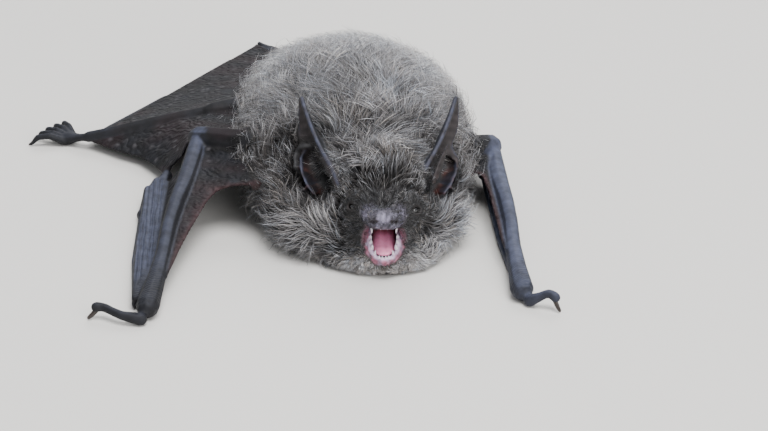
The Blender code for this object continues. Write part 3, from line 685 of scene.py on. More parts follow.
def new_material(name, roughness, colour=None, values=None):
    """A material and its Principled shader, with values for more of its sockets."""
    material = bpy.data.materials.new(name)
    material.use_nodes = True
    shader = material.node_tree.nodes["Principled BSDF"]
    shader.inputs["Roughness"].default_value = roughness
    if colour is not None:
        shader.inputs["Base Color"].default_value = (*colour, 1)
        material.diffuse_color = (*colour, 1)
    for socket, value in (values or {}).items():
        shader.inputs[socket].default_value = value
    return material, shader


def carried(tree, name="tint"):
    """What the surface carries under this name."""
    return add_node(tree, "ShaderNodeAttribute", attribute_name=name)


def grain_group():
    """Fine uneven relief and tone for skin and horn, as a height and a share."""
    if "Fine grain" in bpy.data.node_groups:
        return bpy.data.node_groups["Fine grain"]
    group, start, end = new_group("Fine grain", ["Size"], ["Height", "Tone"])
    place = add_node(group, "ShaderNodeTexCoord")
    pores = add_node(group, "ShaderNodeTexVoronoi", feature="DISTANCE_TO_EDGE")
    cloud = add_node(group, "ShaderNodeTexNoise", {"Detail": 4})
    coarser = add_node(group, "ShaderNodeMath", {1: 0.35}, operation="MULTIPLY")
    both = add_node(group, "ShaderNodeMath", {1: 0.7}, operation="MULTIPLY_ADD")
    join(
        group,
        (place, "Object", pores, "Vector"),
        (place, "Object", cloud, "Vector"),
        (start, "Size", pores, "Scale"),
        (start, "Size", coarser, 0),
        (coarser, 0, cloud, "Scale"),
        (pores, "Distance", both, 0),
        (cloud, "Fac", both, 2),
        (both, 0, end, "Height"),
        (cloud, "Fac", end, "Tone"),
    )
    return group


def add_grain(material, shader, size, depth, tint=None, tone=None):
    """Gives a material the fine grain as a bump, and mottles the colour that it reads."""
    tree = material.node_tree
    grain = add_node(tree, "ShaderNodeGroup", {"Size": size}, node_tree=grain_group())
    bump = add_node(tree, "ShaderNodeBump", {"Strength": 0.6, "Distance": depth})
    join(tree, (grain, "Height", bump, "Height"), (bump, "Normal", shader, "Normal"))
    if tint is not None:
        span = {"From Min": 0.3, "From Max": 0.7, "To Min": 1 - tone, "To Max": 1 + tone}
        shade = add_node(tree, "ShaderNodeMapRange", span)
        product = add_node(tree, "ShaderNodeVectorMath", operation="SCALE")
        join(
            tree,
            (grain, "Tone", shade, "Value"),
            (*tint, product, 0),
            (shade, "Result", product, "Scale"),
            (product, "Vector", shader, "Base Color"),
        )
    return bump


def pleat_group():
    """Fine wrinkles and pleats across a phase that the surface carries, more or less wavy, as a height."""
    group, start, end = new_group("Pleats", ["Phase", "Depth", "Waviness"], ["Height"])
    place = add_node(group, "ShaderNodeTexCoord")
    cloud = add_node(group, "ShaderNodeTexNoise", {"Scale": 520.0, "Detail": 2})
    warp, wave, deep = (
        add_node(group, "ShaderNodeMath", operation=kind) for kind in ("MULTIPLY_ADD", "SINE", "MULTIPLY")
    )
    join(
        group,
        (place, "Object", cloud, "Vector"),
        (cloud, "Fac", warp, 0),
        (start, "Waviness", warp, 1),
        (start, "Phase", warp, 2),
        (warp, 0, wave, 0),
        (wave, 0, deep, 0),
        (start, "Depth", deep, 1),
        (deep, 0, end, "Height"),
    )
    return group


def wart_group():
    """Small pale warts where a share says so, as a mask."""
    group, start, end = new_group("Warts", ["Share"], ["Mask"])
    place = add_node(group, "ShaderNodeTexCoord")
    cells = add_node(group, "ShaderNodeTexVoronoi", {"Scale": 780.0, "Randomness": 0.75})
    span = {"From Min": 0.05, "From Max": 0.34, "To Min": 0.75, "To Max": 0.0}
    spot = add_node(group, "ShaderNodeMapRange", span)
    kept = add_node(group, "ShaderNodeMath", operation="MULTIPLY")
    join(
        group,
        (place, "Object", cells, "Vector"),
        (cells, "Distance", spot, "Value"),
        (spot, "Result", kept, 0),
        (start, "Share", kept, 1),
        (kept, 0, end, "Mask"),
    )
    return group


def skin_finish():
    """Skin with grain, pleats and warts, in the colours and the roughness that the surface carries."""
    material, shader = new_material("Bat skin", 0.5, values={"Specular IOR Level": 0.32})
    tree = material.node_tree
    warts = add_node(tree, "ShaderNodeGroup", node_tree=wart_group())
    wart = (*bpy.context.scene.bat_skin.wart, 1)
    pale = add_node(tree, "ShaderNodeMix", {"B": wart}, data_type="RGBA")
    grain = add_grain(material, shader, size=2600.0, depth=0.00006, tint=(pale, "Result"), tone=0.35)
    pleats = add_node(tree, "ShaderNodeGroup", node_tree=pleat_group())
    relief = add_node(tree, "ShaderNodeBump", {"Strength": 0.6, "Distance": 0.00016})
    join(
        tree,
        (carried(tree), "Color", pale, "A"),
        (carried(tree, "warty"), "Fac", warts, "Share"),
        (warts, "Mask", pale, "Factor"),
        (carried(tree, "phase"), "Fac", pleats, "Phase"),
        (carried(tree, "fold"), "Fac", pleats, "Depth"),
        (carried(tree, "waviness"), "Fac", pleats, "Waviness"),
        (pleats, "Height", relief, "Height"),
        (relief, "Normal", grain, "Normal"),
        (carried(tree, "rough"), "Fac", shader, "Roughness"),
    )
    return material


def coat_finish(name):
    """Matt hair in the colours that the tufts carry."""
    material, shader = new_material(name, 0.62, values={"Specular IOR Level": 0.3})
    join(material.node_tree, (carried(material.node_tree), "Color", shader, "Base Color"))
    return material


# ---------------------------------------------------------------- skin

SKIN_BAND = 0.6  # distances are cut off this far from the skin
THINNING = 0.985  # the thinned skin may end a little over its number of triangles
FOREARM_WRINKLE, FINGER_PLEAT = 0.42, 0.5  # from one crest to the next
WEB_PLEAT = 0.17  # the same round the elbow, in radians
EAR_RIB = 0.95
PLAIN_WAVINESS, HAND_WAVINESS = 24.0, 5.0
CHIN_SKIN = (0.13, 0.10, 0.09)
WEB_FLUSH = (0.016, 0.0068, 0.0088)
# near black in the nostrils: painted shade in their pits
NOSTRIL_SKIN = (0.016, 0.010, 0.011)
SOCKET_SKIN = (0.012, 0.009, 0.009)


def largest_island(points, faces):
    """The points and triangles of the biggest connected surface."""
    parent = list(range(len(points)))

    def root(i):
        while parent[i] != i:
            parent[i] = parent[parent[i]]
            i = parent[i]
        return i

    for a, b, c in faces.tolist():
        top, second, third = root(a), root(b), root(c)
        parent[second] = top
        parent[root(third)] = top
    owner = np.array([root(i) for i in range(len(points))])
    names, counts = np.unique(owner, return_counts=True)
    kept = owner == names[counts.argmax()]
    new = np.cumsum(kept) - 1
    faces = faces[kept[faces[:, 0]]]
    return points[kept], new[faces]


def made_mesh(holder):
    """The mesh that an object's modifiers make. The object is removed."""
    view = bpy.context.evaluated_depsgraph_get()
    mesh = bpy.data.meshes.new_from_object(holder.evaluated_get(view))
    bpy.data.objects.remove(holder)
    return mesh


def skin_surface():
    """The one skin as points and triangles, thinned out where it is flat."""
    form = body_form()
    if "surface" in form:
        return form["surface"]
    grid = form["grid"]
    level = openvdb.FloatGrid(SKIN_BAND)
    level.transform = openvdb.createLinearTransform(voxelSize=grid.cell)
    values = np.clip(form["skin"].values, -SKIN_BAND, SKIN_BAND)
    level.copyFromArray(values, ijk=grid.corner, tolerance=0.0)
    points, quads = level.convertToQuads(0.0)
    faces = np.concatenate([quads[:, [0, 1, 2]], quads[:, [0, 2, 3]]]).astype(np.int64)
    corners = points[faces]
    volume = np.einsum("ij,ij->i", corners[:, 0], np.cross(corners[:, 1], corners[:, 2])).sum()
    if volume < 0:
        faces = faces[:, ::-1]
    rough = bpy.data.objects.new("rough skin", mesh_from("rough skin", points, faces))
    bpy.context.scene.collection.objects.link(rough)
    thin = rough.modifiers.new("Thin out", "DECIMATE")
    thin.ratio = min(1.0, bpy.context.scene.bat_skin.triangles * THINNING / len(faces))
    mesh = made_mesh(rough)
    place, corner = mesh_arrays(mesh)
    form["surface"] = largest_island(place.astype(float) / MM - ORIGIN, corner)
    bpy.data.meshes.remove(mesh)
    return form["surface"]


def lay(out, where, **values):
    """Sets these shares where the mask holds."""
    for name, value in values.items():
        out[name] = np.where(where, value, out[name])


def face_shares(points, out):
    """Adds the shares of the mouth, the nose, the eyes and the dark mask."""
    axes = points.T
    mouth = tube_distance(axes, MOUTH_LINE, (2.0, 1.7, 1.0))
    out["mouth"] = fade(mouth, 0.0, 0.9) * fade(points[:, 2], 6.2, 6.9)
    nose = nose_distance(axes) + 0.12 * waves(points, 0.7, 44)
    out["nose"] = fade(nose, -0.05, 0.5) * (1 - out["mouth"])
    lips = np.minimum(*(tube_distance(axes, both_sides(lip), 0.33) for lip in (UPPER_LIP, LOWER_LIP)))
    out["lips"] = fade(lips + 0.08 * waves(points, 0.8, 45), 0.0, 0.26)
    out["gum"] = fade(tube_distance(axes, both_sides(GUM), GUM_RADIUS), 0.02, 0.16)
    seats = [np.array(place) + eye_way(side) * 0.7 for side, place in EYE_PLACES.items()]
    gap = np.minimum(*(away(points, seat) for seat in seats))
    out["eye"], out["socket"] = fade(gap, 0.55, 0.8), fade(gap, 0.8, 1.9)
    pits = (nostril_distance(axes, sign) for sign in SIDES.values())
    out["nostril"] = fade(np.minimum(*pits), 0.02, 0.16)
    face = bulb_distance(axes, (0, 0.8, 5.4), (4.7, 4.6, 3.7))
    out["mask"] = fade(face + 0.6 * waves(points, 3.0, 17), -1.6, 2.0)


def ear_shares(points, ears, out):
    """Adds the shares of the ears, their rims and the slots in front of them."""
    out["ear"] = fade(ears, 0.1, 0.5)
    out["hollow"] = fade(hollow_distance(points.T), 0.15, 0.8) * (1 - out["ear"])
    rims = [
        tube_distance(points.T, on_side(edge, sign, EAR_MIDDLE), 0.1)
        for sign in SIDES.values()
        for edge in (EAR_FRONT_EDGE, EAR_BACK_EDGE)
    ]
    rim = fade(np.minimum.reduce(rims), 0.0, 0.2)
    # the rims carry a painted highlight along the ear's edges
    out["rim"] = rim * out["ear"] * ramp(points[:, 2], 5.5, 7.5)


def limb_shares(points, limbs, webs, out):
    """Adds the shares of the arms, the legs and the membranes, and the pleats and wrinkles on them."""
    axes = points.T
    x, y, _ = axes
    bare = 1 - out["ear"]
    out["limb"] = fade(limbs, 0.05, 0.5) * bare
    for name in ("edge", "phase", "fold", "arm", "hand", "cap"):
        out[name] = np.zeros_like(x)
    out["waviness"] = np.full_like(x, PLAIN_WAVINESS)
    foot = np.minimum(*(away(points, ankle) for ankle in ANKLE.values()))
    # dusk: where the painted sheen is held back, on the feet and the legs and, below, at the wrists
    out["dusk"] = out["limb"] * np.maximum(fade(foot, 4.5, 8.5), 0.9 * ramp(y, 26.0, 28.5))
    for side, sign in SIDES.items():
        edge = fade(tube_distance(axes, FRONT_EDGE[side], 0.2), 0.05, 0.7)
        out["edge"] = np.maximum(out["edge"], edge * (1 - out["limb"]))
        elbow, wrist, knee, ankle = (np.array(places[side]) for places in (ELBOW, WRIST, KNEE, ANKLE))
        forearm = wrist - elbow
        share = (points - elbow) @ forearm / (forearm @ forearm)
        near = fade(tube_distance(axes, [elbow, wrist], (1.6, 1.8)), 0.2, 0.6)
        near = near * out["limb"] * ramp(share, -0.08, 0.02)
        run = share * np.linalg.norm(forearm) + 0.45 * x
        wrinkle = run * math.tau / FOREARM_WRINKLE
        lay(out, near > 0, phase=wrinkle, fold=near * 0.2 * ramp(share, 0.7, 0.95))
        hand = ramp(share, 0.72, 0.98) * out["limb"] * fade(y, 6.0, 12.0)
        out["dusk"] = np.maximum(out["dusk"], hand)
        bundle = fade(tube_distance(axes, BETWEEN_FINGERS[side][0], 1.4), 0.0, 0.5)
        bundle = bundle * out["limb"] * (1 - near) * ramp(y, wrist[1] + 2.0, wrist[1] + 6.0)
        pleat = (x + 0.03 * y) * math.tau / FINGER_PLEAT
        lay(out, bundle > 0, phase=pleat, fold=bundle * 0.6, waviness=HAND_WAVINESS)
        shoulder = np.array(SHOULDER[side]) + (0, 0, 2.0)
        arm = fade(tube_distance(axes, [shoulder, elbow], (3.2, 1.5)), 0.0, 0.7)
        leg = fade(tube_distance(axes, [ankle, knee], (1.2, 2.6)), 0.0, 0.7)
        leg = 0.85 * leg * ramp(away(points, ankle), 2.5, 6.0)
        out["arm"] = np.maximum(out["arm"], np.maximum(arm * (1 - near), leg) * out["limb"])
        out["hand"] = np.maximum(out["hand"], bundle)
        # cap: a share of painted sheen round the elbows
        out["cap"] = np.maximum(out["cap"], fade(away(points, elbow), 1.5, 7.0))
        turn = np.arctan2(y - elbow[1] - 3.0, x - elbow[0])
        far = np.linalg.norm(points[:, :2] - elbow[:2], axis=1)
        flat = fade(webs, 0.05, 0.3) * ramp(limbs, 0.3, 0.8) * ramp(far, 1.5, 4.0)
        ours = (flat > 0) & (np.sign(x + 2.0) == sign)
        lay(out, ours, phase=turn * math.tau / WEB_PLEAT, fold=flat * 0.9)
    web = fade(webs, 0.05, 0.4) * ramp(limbs, 0.05, 0.45) * bare
    out["web"] = np.maximum(web, 0.85 * out["arm"])
    out["limb"] = out["limb"] * (1 - 0.85 * out["arm"])


def regions(points):
    """Shares that say which part of the body each point of the skin belongs to."""
    form = body_form()
    limbs, webs, ears, coat = (form[name].at(points) for name in ("limbs", "webs", "ears", "coat"))
    out = {"room": np.maximum(-coat, 0.0), "fringe": fade(coat, 0.1, 1.3)}
    face_shares(points, out)
    ear_shares(points, ears, out)
    limb_shares(points, limbs, webs, out)
    return out


def chin_share(points):
    """Share of the pale brown chin."""
    return fade(away(points, (0, 0.5, 1.2), (4.0, 3.0, 1.6)), 0.7, 1.4)


def limb_colour(colour, points, normals, shares):
    """Colours of the skin with the arms, the legs and the membranes, and the slate of the limbs, with painted
    sheen on the limbs and painted shade in the pleats of the folded hands.
    """
    skin = bpy.context.scene.bat_skin
    patch = 0.5 + 0.5 * waves(points, 3.0, 5)
    # share of the slate: random patches of tone, plus painted sheen on faces that look up, on the bat's left
    # side, round the elbows and on the folded fingers
    patchy_painted_sheen = 0.16 * patch + 0.8 * ramp(normals[:, 2], 0.5, 1.0) + 0.4 * np.tanh(points[:, 0] / 6) - 0.03
    patchy_painted_sheen = patchy_painted_sheen + 0.5 * shares["hand"] + 0.4 * shares["cap"]
    # dusk holds the painted sheen back at the wrists, hands, feet and legs
    dusk = 0.7 * shares["dusk"] * (1 - 0.5 * ramp(points[:, 0], 0, 5))
    slate = blend(skin.dark, skin.sheen, np.clip(patchy_painted_sheen, 0, 1) * (1 - dusk))
    # the folded fingers are darker in the grooves between their pleats: painted shade
    pleat = 0.5 + 0.5 * np.sin(shares["phase"] + 1.5 * waves(points, 4.0, 48))
    slate = slate * (1 - 0.45 * shares["hand"] * (1 - pleat) ** 2)[:, None]
    colour = blend(colour, slate, shares["limb"])
    web = blend(skin.web, skin.dark, patch)
    web = blend(web, WEB_FLUSH, np.clip(0.05 + 0.6 * waves(points, 6.0, 49), 0, 0.5))
    colour = blend(colour, web, shares["web"])
    return blend(colour, skin.rim, shares["edge"] * 0.7), slate


def ear_colour(colour, slate, points, normals, shares):
    """Colours of the skin with the ears: slate outside with a painted highlight on the rims, ribbed and
    reddish inside with painted shade in the hollow and between the ribs, and painted shade in the slots in
    front of them.
    """
    skin = bpy.context.scene.bat_skin
    # the hollow, taken as the faces that look ahead, gets its own dark brown, partly painted shade in the
    # hollow
    inside = ramp(-normals[:, 1], 0.1, 0.6)
    conch = blend(blend(slate, skin.dark, 0.75), skin.conch, inside)
    # dark bands across the hollow: painted shade between the ribs of the ear
    ribs = 0.75 + 0.25 * np.sin((points @ np.array((0, 0.68, 0.73))) * math.tau / EAR_RIB)
    conch = conch * (1 - inside * (1 - ribs))[:, None]
    low = fade(points[:, 2], 6.5, 9.5)
    lobe = 0.5 + 0.5 * waves(points, 1.1, 47)
    conch = blend(conch, skin.ear_root, low * inside * (0.1 + 0.5 * lobe))
    conch = conch * (1 - 0.45 * low * (1 - lobe))[:, None]
    # painted highlight along the rims, in the slate colour
    conch = blend(conch, skin.sheen, shares["rim"] * (0.55 + 0.25 * waves(points, 1.5, 46)))
    colour = blend(colour, conch, shares["ear"])
    # painted shade in the slots in front of the ears, in the dark colour of the face
    return blend(colour, bpy.context.scene.bat_coat.mask, shares["hollow"] * 0.8)


def face_colour(colour, points, normals, shares):
    """Colours of the skin with the nose, the mouth and the sockets of the eyes."""
    skin = bpy.context.scene.bat_skin
    x, y, z = points.T
    fleck = (0.75 + 0.45 * waves(points, 0.8, 41))[:, None]
    # painted highlight: the middle of the nose pad is a quarter lighter
    centre = np.exp(-((x / 1.0) ** 2) - ((z - 7.7) / 0.9) ** 2)
    pad = blend(np.array(skin.nose) * 0.98, np.array(skin.nose) * 1.25, centre)
    over = ramp(normals[:, 2], 0.5, 0.95)
    colour = blend(colour, pad * fleck, shares["nose"] * (0.95 - 0.5 * over))
    # painted shade inside the nostrils
    colour = blend(colour, NOSTRIL_SKIN, shares["nostril"] * 0.9)
    lips = blend(skin.lips, skin.nose, np.clip(0.2 + 0.5 * waves(points, 0.9, 42), 0, 1))
    lips = lips * (0.85 + 0.4 * waves(points, 0.5, 43))[:, None]
    upper = 1 - 0.75 * ramp(z, 4.6, 6.2)
    colour = blend(colour, lips, shares["lips"] * (1 - 0.6 * shares["nose"]) * upper)
    # darker towards the throat: painted shade at the back of the mouth, partly its own dark red
    inner = blend(skin.lips, skin.throat, ramp(y, 1.5, 4.0))
    colour = blend(colour, inner, shares["mouth"] * (1 - shares["lips"]))
    colour = blend(colour, blend(skin.gum, skin.lips, ramp(y, 2.0, 3.6)), shares["gum"])
    return blend(colour, SOCKET_SKIN, shares["eye"] * 0.9)


def skin_colours(points, normals, shares):
    """Colour of each point of the skin."""
    coat = bpy.context.scene.bat_coat
    colour = blend(coat.root, coat.mask, shares["mask"])
    colour = blend(colour, CHIN_SKIN, 0.8 * chin_share(points))
    colour, slate = limb_colour(colour, points, normals, shares)
    colour = ear_colour(colour, slate, points, normals, shares)
    return face_colour(colour, points, normals, shares)


class BAT_OT_skin(bpy.types.Operator):
    """Make the one skin of body, ears, arms and membranes"""

    bl_idname = "bat.skin"
    bl_label = "Skin"

    def execute(self, context):
        points, faces = skin_surface()
        mesh = mesh_from("skin", points, faces)
        normals = body_form()["skin"].slope(points)
        shares = regions(points)
        keep_colour(mesh, skin_colours(points, normals, shares))
        rough = 0.6 + 0.08 * shares["limb"] + 0.15 * shares["web"] - 0.3 * shares["mouth"]
        rough = rough - 0.35 * shares["gum"] * (1 - shares["mouth"]) + 0.25 * ramp(shares["room"], 0.1, 0.6)
        keep(mesh, "rough", np.clip(rough, 0.1, 1))
        for name in ("phase", "fold", "waviness"):
            keep(mesh, name, shares[name])
        hind = 0.35 + 0.65 * ramp(points[:, 1], 14.0, 20.0)
        warty = shares["web"] * (1 - shares["arm"]) * hind * ramp(-points[:, 0], -2.0, 2.0)
        keep(mesh, "warty", warty)
        shown("skin", mesh, skin_finish(), "skin", *COAT_NODES, *EAR_NODES, *LIMB_NODES, *WEB_NODES)
        return {"FINISHED"}


# ---------------------------------------------------------------- coat

TUFT_SIDES = 3
TUFT_TRIANGLES = 16  # triangles of a tuft with three steps
PIECE_TRIANGLES = 196000  # most triangles in a piece of the coat
TUFT_PATCH = 0.003  # edge of a tuft's patch on the unwrap
TUFT_PROFILE = ((0, 0.35, 0.75, 1), (0.85, 1.0, 0.6, 0.0))  # places along a tuft, and shares of its width
LONG_STEPS = 3  # steps from the root to the tip of a long tuft
LONG_LIMITS = (0.5, 7.0)  # shortest and longest tufts before they vary
GUARD_SHARE = 0.18  # share of the tufts that stand out of the coat
LOCK = 15  # tufts in a lock, on average
OWN_TURN, LOCK_TURN = 0.42, 0.58  # spread of the turns of tufts and of locks
LONGER_STEP = 1.2  # most that a step of a tuft may grow
SKIN_CLEAR, FLOOR_CLEAR = 0.1, 0.08  # least height of a tuft over the skin and over the floor
CHIN_TIP = (0.62, 0.52, 0.45)


def lie(points, normals):
    """Unit direction in which the coat lies, along the skin: back from the muzzle and outwards."""
    x, _, z = points.T
    back = np.stack([0.09 * (x + 2.0), np.ones_like(x), -0.05 * (8 - z)], axis=1)
    muzzle = unit(points - np.array((0, -3.0, 6.0)))
    far = ramp(away(points, (0, 1.5, 6.5)), 4.0, 12.0)
    way = blend(muzzle, unit(back), far)
    return unit(way - normals * np.einsum("ij,ij->i", way, normals)[:, None])


def nape(points):
    """Share of the hollow between the crown and the shoulders, which long hairs bridge."""
    return np.exp(-((points - np.array((-0.3, 11.5, 11.5))) ** 2 / np.array((30.0, 14.0, 12.0))).sum(axis=1))


def strand_paths(roots, normals, ways, lengths, lifts, steps):
    """Centre lines of tufts, from their roots to their tips, bending down along the lie."""
    rings = [roots]
    for step in range(steps):
        share = (step + 0.5) / steps
        rise = (lifts * (1.25 - 1.15 * share))[:, None]
        way = unit(ways * np.sqrt(np.maximum(1 - rise**2, 0.05)) + normals * rise)
        rings.append(rings[-1] + way * (lengths / steps)[:, None])
    return rings


def turned(ways, normals, angles):
    """Directions turned round the skin's normal."""
    across = np.cross(normals, ways)
    return ways * np.cos(angles)[:, None] + across * np.sin(angles)[:, None]


def within_coat(rings, slack):
    """Keeps tufts over the skin and under the coat's outline, without stretching them."""
    coat, skin = body_form()["coat"], body_form()["skin"]
    out = [rings[0]]
    for before, ring in zip(rings, rings[1:]):
        longest = LONGER_STEP * np.linalg.norm(ring - before, axis=1)
        ring = ring - coat.slope(ring) * np.clip(coat.at(ring) - slack, 0, 3)[:, None]
        ring = ring + skin.slope(ring) * np.clip(SKIN_CLEAR - skin.at(ring), 0, 1)[:, None]
        step = ring - out[-1]
        stretch = np.linalg.norm(step, axis=1)
        ring = out[-1] + step * np.minimum(1, longest / np.maximum(stretch, 1e-6))[:, None]
        ring[:, 2] = np.maximum(ring[:, 2], FLOOR_CLEAR)
        out.append(ring)
    return out


def sampled(points, faces, weights, count, rng):
    """Roots spread over the triangles, by area and weight."""
    a, b, c = (points[faces[:, i]] for i in range(3))
    area = np.linalg.norm(np.cross(b - a, c - a), axis=1) / 2
    edges = np.cumsum(area * weights[faces].mean(axis=1))
    # one draw in each equal stretch keeps the roots even
    picks = np.searchsorted(edges, (np.arange(count) + rng.random(count)) * edges[-1] / count)
    picks = np.minimum(picks, len(faces) - 1)
    u, v = rng.random(count), rng.random(count)
    fold = u + v > 1
    u[fold], v[fold] = 1 - u[fold], 1 - v[fold]
    return a[picks] + (b[picks] - a[picks]) * u[:, None] + (c[picks] - a[picks]) * v[:, None]


def tuft_faces(steps):
    """Triangles of one closed tuft: a root, a wall of rings and a point."""
    faces = [(0, 2, 1)]
    for step in range(steps - 1):
        for k in range(TUFT_SIDES):
            a, b = TUFT_SIDES * step + k, TUFT_SIDES * step + (k + 1) % TUFT_SIDES
            faces += [(a, b, b + TUFT_SIDES), (a, b + TUFT_SIDES, a + TUFT_SIDES)]
    top, tip = TUFT_SIDES * (steps - 1), TUFT_SIDES * steps
    return np.array(faces + [(top, top + 1, tip), (top + 1, top + 2, tip), (top + 2, top, tip)])


def tuft_mesh(name, rings, widths, colours, seats, rng):
    """One mesh of tapering tufts. Seats are the tufts' places on the unwrap."""
    count, steps = len(rings[0]), len(rings) - 1
    turn = rng.uniform(0, math.tau, count)
    places, tints = [], []
    profile = np.interp(np.linspace(0, 1, steps + 1), *TUFT_PROFILE)
    side = unit(np.cross(unit(rings[1] - rings[0]), rng.normal(size=(count, 3))))
    for step in range(steps):
        along = unit(rings[step + 1] - rings[max(step - 1, 0)])
        u = unit(side - along * np.einsum("ij,ij->i", side, along)[:, None])
        v = np.cross(along, u)
        reach = (widths * profile[step] / 2)[:, None]
        for k in range(TUFT_SIDES):
            angle = turn + math.tau * k / TUFT_SIDES
            places.append(rings[step] + (u * np.cos(angle)[:, None] + v * np.sin(angle)[:, None]) * reach)
            tints.append(colours[step])
    places.append(rings[steps])
    tints.append(colours[steps])
    tuft = np.arange(count)[:, None, None] * len(places)
    every = (tuft + tuft_faces(steps)[None]).reshape(-1, 3)
    mesh = mesh_from(name, np.stack(places, axis=1).reshape(-1, 3), every)
    keep_colour(mesh, np.stack(tints, axis=1).reshape(-1, 3))
    rows = [(k / TUFT_SIDES, step / steps) for step in range(steps) for k in range(TUFT_SIDES)]
    corners = np.array(rows + [(0.5, 1)]) * TUFT_PATCH
    spot = (seats[:, None] + corners[None]).reshape(-1, 2)
    layer = mesh.uv_layers.new(name="OFBake")
    layer.data.foreach_set("uv", spot[every.ravel()].astype(np.float32).ravel())
    return mesh


def unwrap(points):
    """Places from 0 to 1 round and along the body, stretched to fill the square."""
    x, y, z = points.T
    around = (np.arctan2(x + 2.5, z - 5.0) / math.tau) % 1.0
    out = np.stack([around, y], axis=1)
    low, high = out.min(axis=0), out.max(axis=0)
    return (out - low) / np.maximum(high - low, 1e-6) * 0.99 + 0.002


def nearest(leaders, points):
    """Number of the nearest leader to each point."""
    tree = KDTree(len(leaders))
    for i, place in enumerate(leaders.tolist()):
        tree.insert(place, i)
    tree.balance()
    return np.array([tree.find(place)[1] for place in points.tolist()])


def fringe_share(roots, room):
    """Share of the hairs that lie out over the arms, the legs and the membranes."""
    form = body_form()
    bare = np.minimum(form["limbs"].at(roots), form["webs"].at(roots))
    return fade(room, 0.1, 0.9) * fade(bare, 0.1, 0.8)


def combed(roots, lengths, lifts, steps, rng, turn_share):
    """Tousled, clumped centre lines for roots on the skin, and the lock that each belongs to."""
    coat, count = bpy.context.scene.bat_coat, len(roots)
    normals = body_form()["skin"].slope(roots)
    ways = lie(roots, normals)
    swirl = waves(roots, 7.0, 11) * 0.55 + waves(roots, 2.6, 12) * 0.45
    locks = max(count // LOCK, 1)
    leaders = rng.choice(count, locks, replace=False)
    owner = nearest(roots[leaders], roots)
    own_turn = rng.normal(0, OWN_TURN, count)
    lock_turn = np.clip(rng.normal(0, LOCK_TURN, locks), -1.0, 1.0)[owner]
    ways = turned(ways, normals, coat.tousle * turn_share * (swirl + lock_turn + own_turn))
    lock_lift = rng.uniform(0.8, 1.2, locks)[owner]
    rings = strand_paths(roots, normals, ways, lengths, np.clip(lifts * lock_lift, 0.05, 0.95), steps)
    curl = waves(roots, 1.7, 31) * 0.14 + rng.normal(0, 0.18, count)
    bend = np.cross(normals, ways) * (curl * lengths)[:, None]
    loose = rng.uniform(0.5, 1.0, count)
    out = []
    for step, ring in enumerate(rings):
        along = step / steps
        ring = ring + bend * along**2
        share = (coat.clump * loose * along**1.2)[:, None]
        out.append(ring * (1 - share) + ring[leaders][owner] * share)
    return out, owner


def back_centre(points):
    """Share of the darker patch on top of the back."""
    return bell(points, (-4.4, 21.5, 15.0), (5.4, 4.4, 4.2))


def pale_share(points):
    """Where the coat is pale: the back, the ruff and chin, the cheek on the left and the underside."""
    x, y, z = points.T
    ruff = fade(z, 1.6, 4.2) * (0.42 + 0.3 * ramp(x, -6.0, 3.0))
    jaw = [(8.6, 7.0, 4.8), (5.6, 3.2, 2.9), (3.0, 0.9, 1.4)]
    cheek = fade(tube_distance(points.T, jaw, (1.1, 1.1, 0.9)), 0.0, 1.9)
    back = ramp(y, 12.0, 22.0) * ramp(z, 7.0, 12.0) * (0.95 - 0.75 * back_centre(points))
    crown = 0.4 * bell(points, (-0.5, 11.0, 12.5), (6.0, 4.0, 3.5))
    side = 0.38 * fade(away(points, (-6.6, 3.0, 4.0), (3.4, 4.0, 3.4)), 0.4, 1.3)
    most = np.maximum.reduce([ruff, chin_share(points), cheek, side, back, crown])
    return np.clip(most * (0.85 + 0.3 * waves(points, 6.0, 19)), 0, 1)


def coat_tones(roots, shares, owner, rng):
    """Factors on the colours of each tuft, which vary from lock to lock and from place to place."""
    locks = rng.normal(0, 0.3, owner.max() + 1)[owner]
    patches = 0.16 * waves(roots, 4.5, 21) + 0.12 * waves(roots, 1.8, 22)
    tone = np.clip(1 + locks + rng.normal(0, 0.22, len(roots)) + patches, 0.25, 2.2)
    tone = tone * (1 - 0.5 * back_centre(roots)) * (1 + 0.35 * ramp(roots[:, 1], 25.0, 32.0))
    # darker tufts round the eyes, and painted shade on the tufts in the slots in front of the ears
    tone = tone * (1 - 0.6 * shares["socket"]) * (1 - 0.7 * shares["hollow"])
    warm = (rng.normal(0, 1, owner.max() + 1)[owner] + rng.normal(0, 0.7, len(roots)))[:, None]
    return tone[:, None] * (1 + warm * (0.03, 0.0, -0.035))


def coat_colours(roots, steps, owner, rng):
    """Colours of the rings of each tuft: dark roots, brown middles and pale tips."""
    coat, skin = bpy.context.scene.bat_coat, bpy.context.scene.bat_skin
    shares = regions(roots)
    tone = coat_tones(roots, shares, owner, rng)
    pale = np.clip(pale_share(roots) + 0.2 * fringe_share(roots, shares["room"]), 0, 1)
    dark = shares["mask"] * (1 - pale) * (1 - 0.6 * shares["nose"])
    chin = chin_share(roots)
    fuzz = shares["nose"] * (1 - 0.5 * shares["socket"])
    tip = blend(blend(coat.tip, coat.pale, pale), coat.mask, dark * 0.5)
    tip = blend(blend(tip, CHIN_TIP, chin * 0.6), skin.nose, fuzz * 0.9)
    middle = blend(coat.middle, coat.mask, dark * 0.85)
    middle = blend(blend(middle, coat.tip, pale * 0.45 + 0.25 * chin), skin.nose, fuzz * 0.75)
    frost = np.clip(0.3 + 0.42 * pale + 0.5 * rng.normal(0, 1, len(roots)), 0.02, 1) ** 1.2
    out = []
    for along in np.linspace(0, 1, steps + 1):
        colour = blend(coat.root, middle, ramp(along, 0.1, 0.6))
        out.append(blend(colour, tip, ramp(along, 0.45, 1.0) * frost) * tone)
    return out


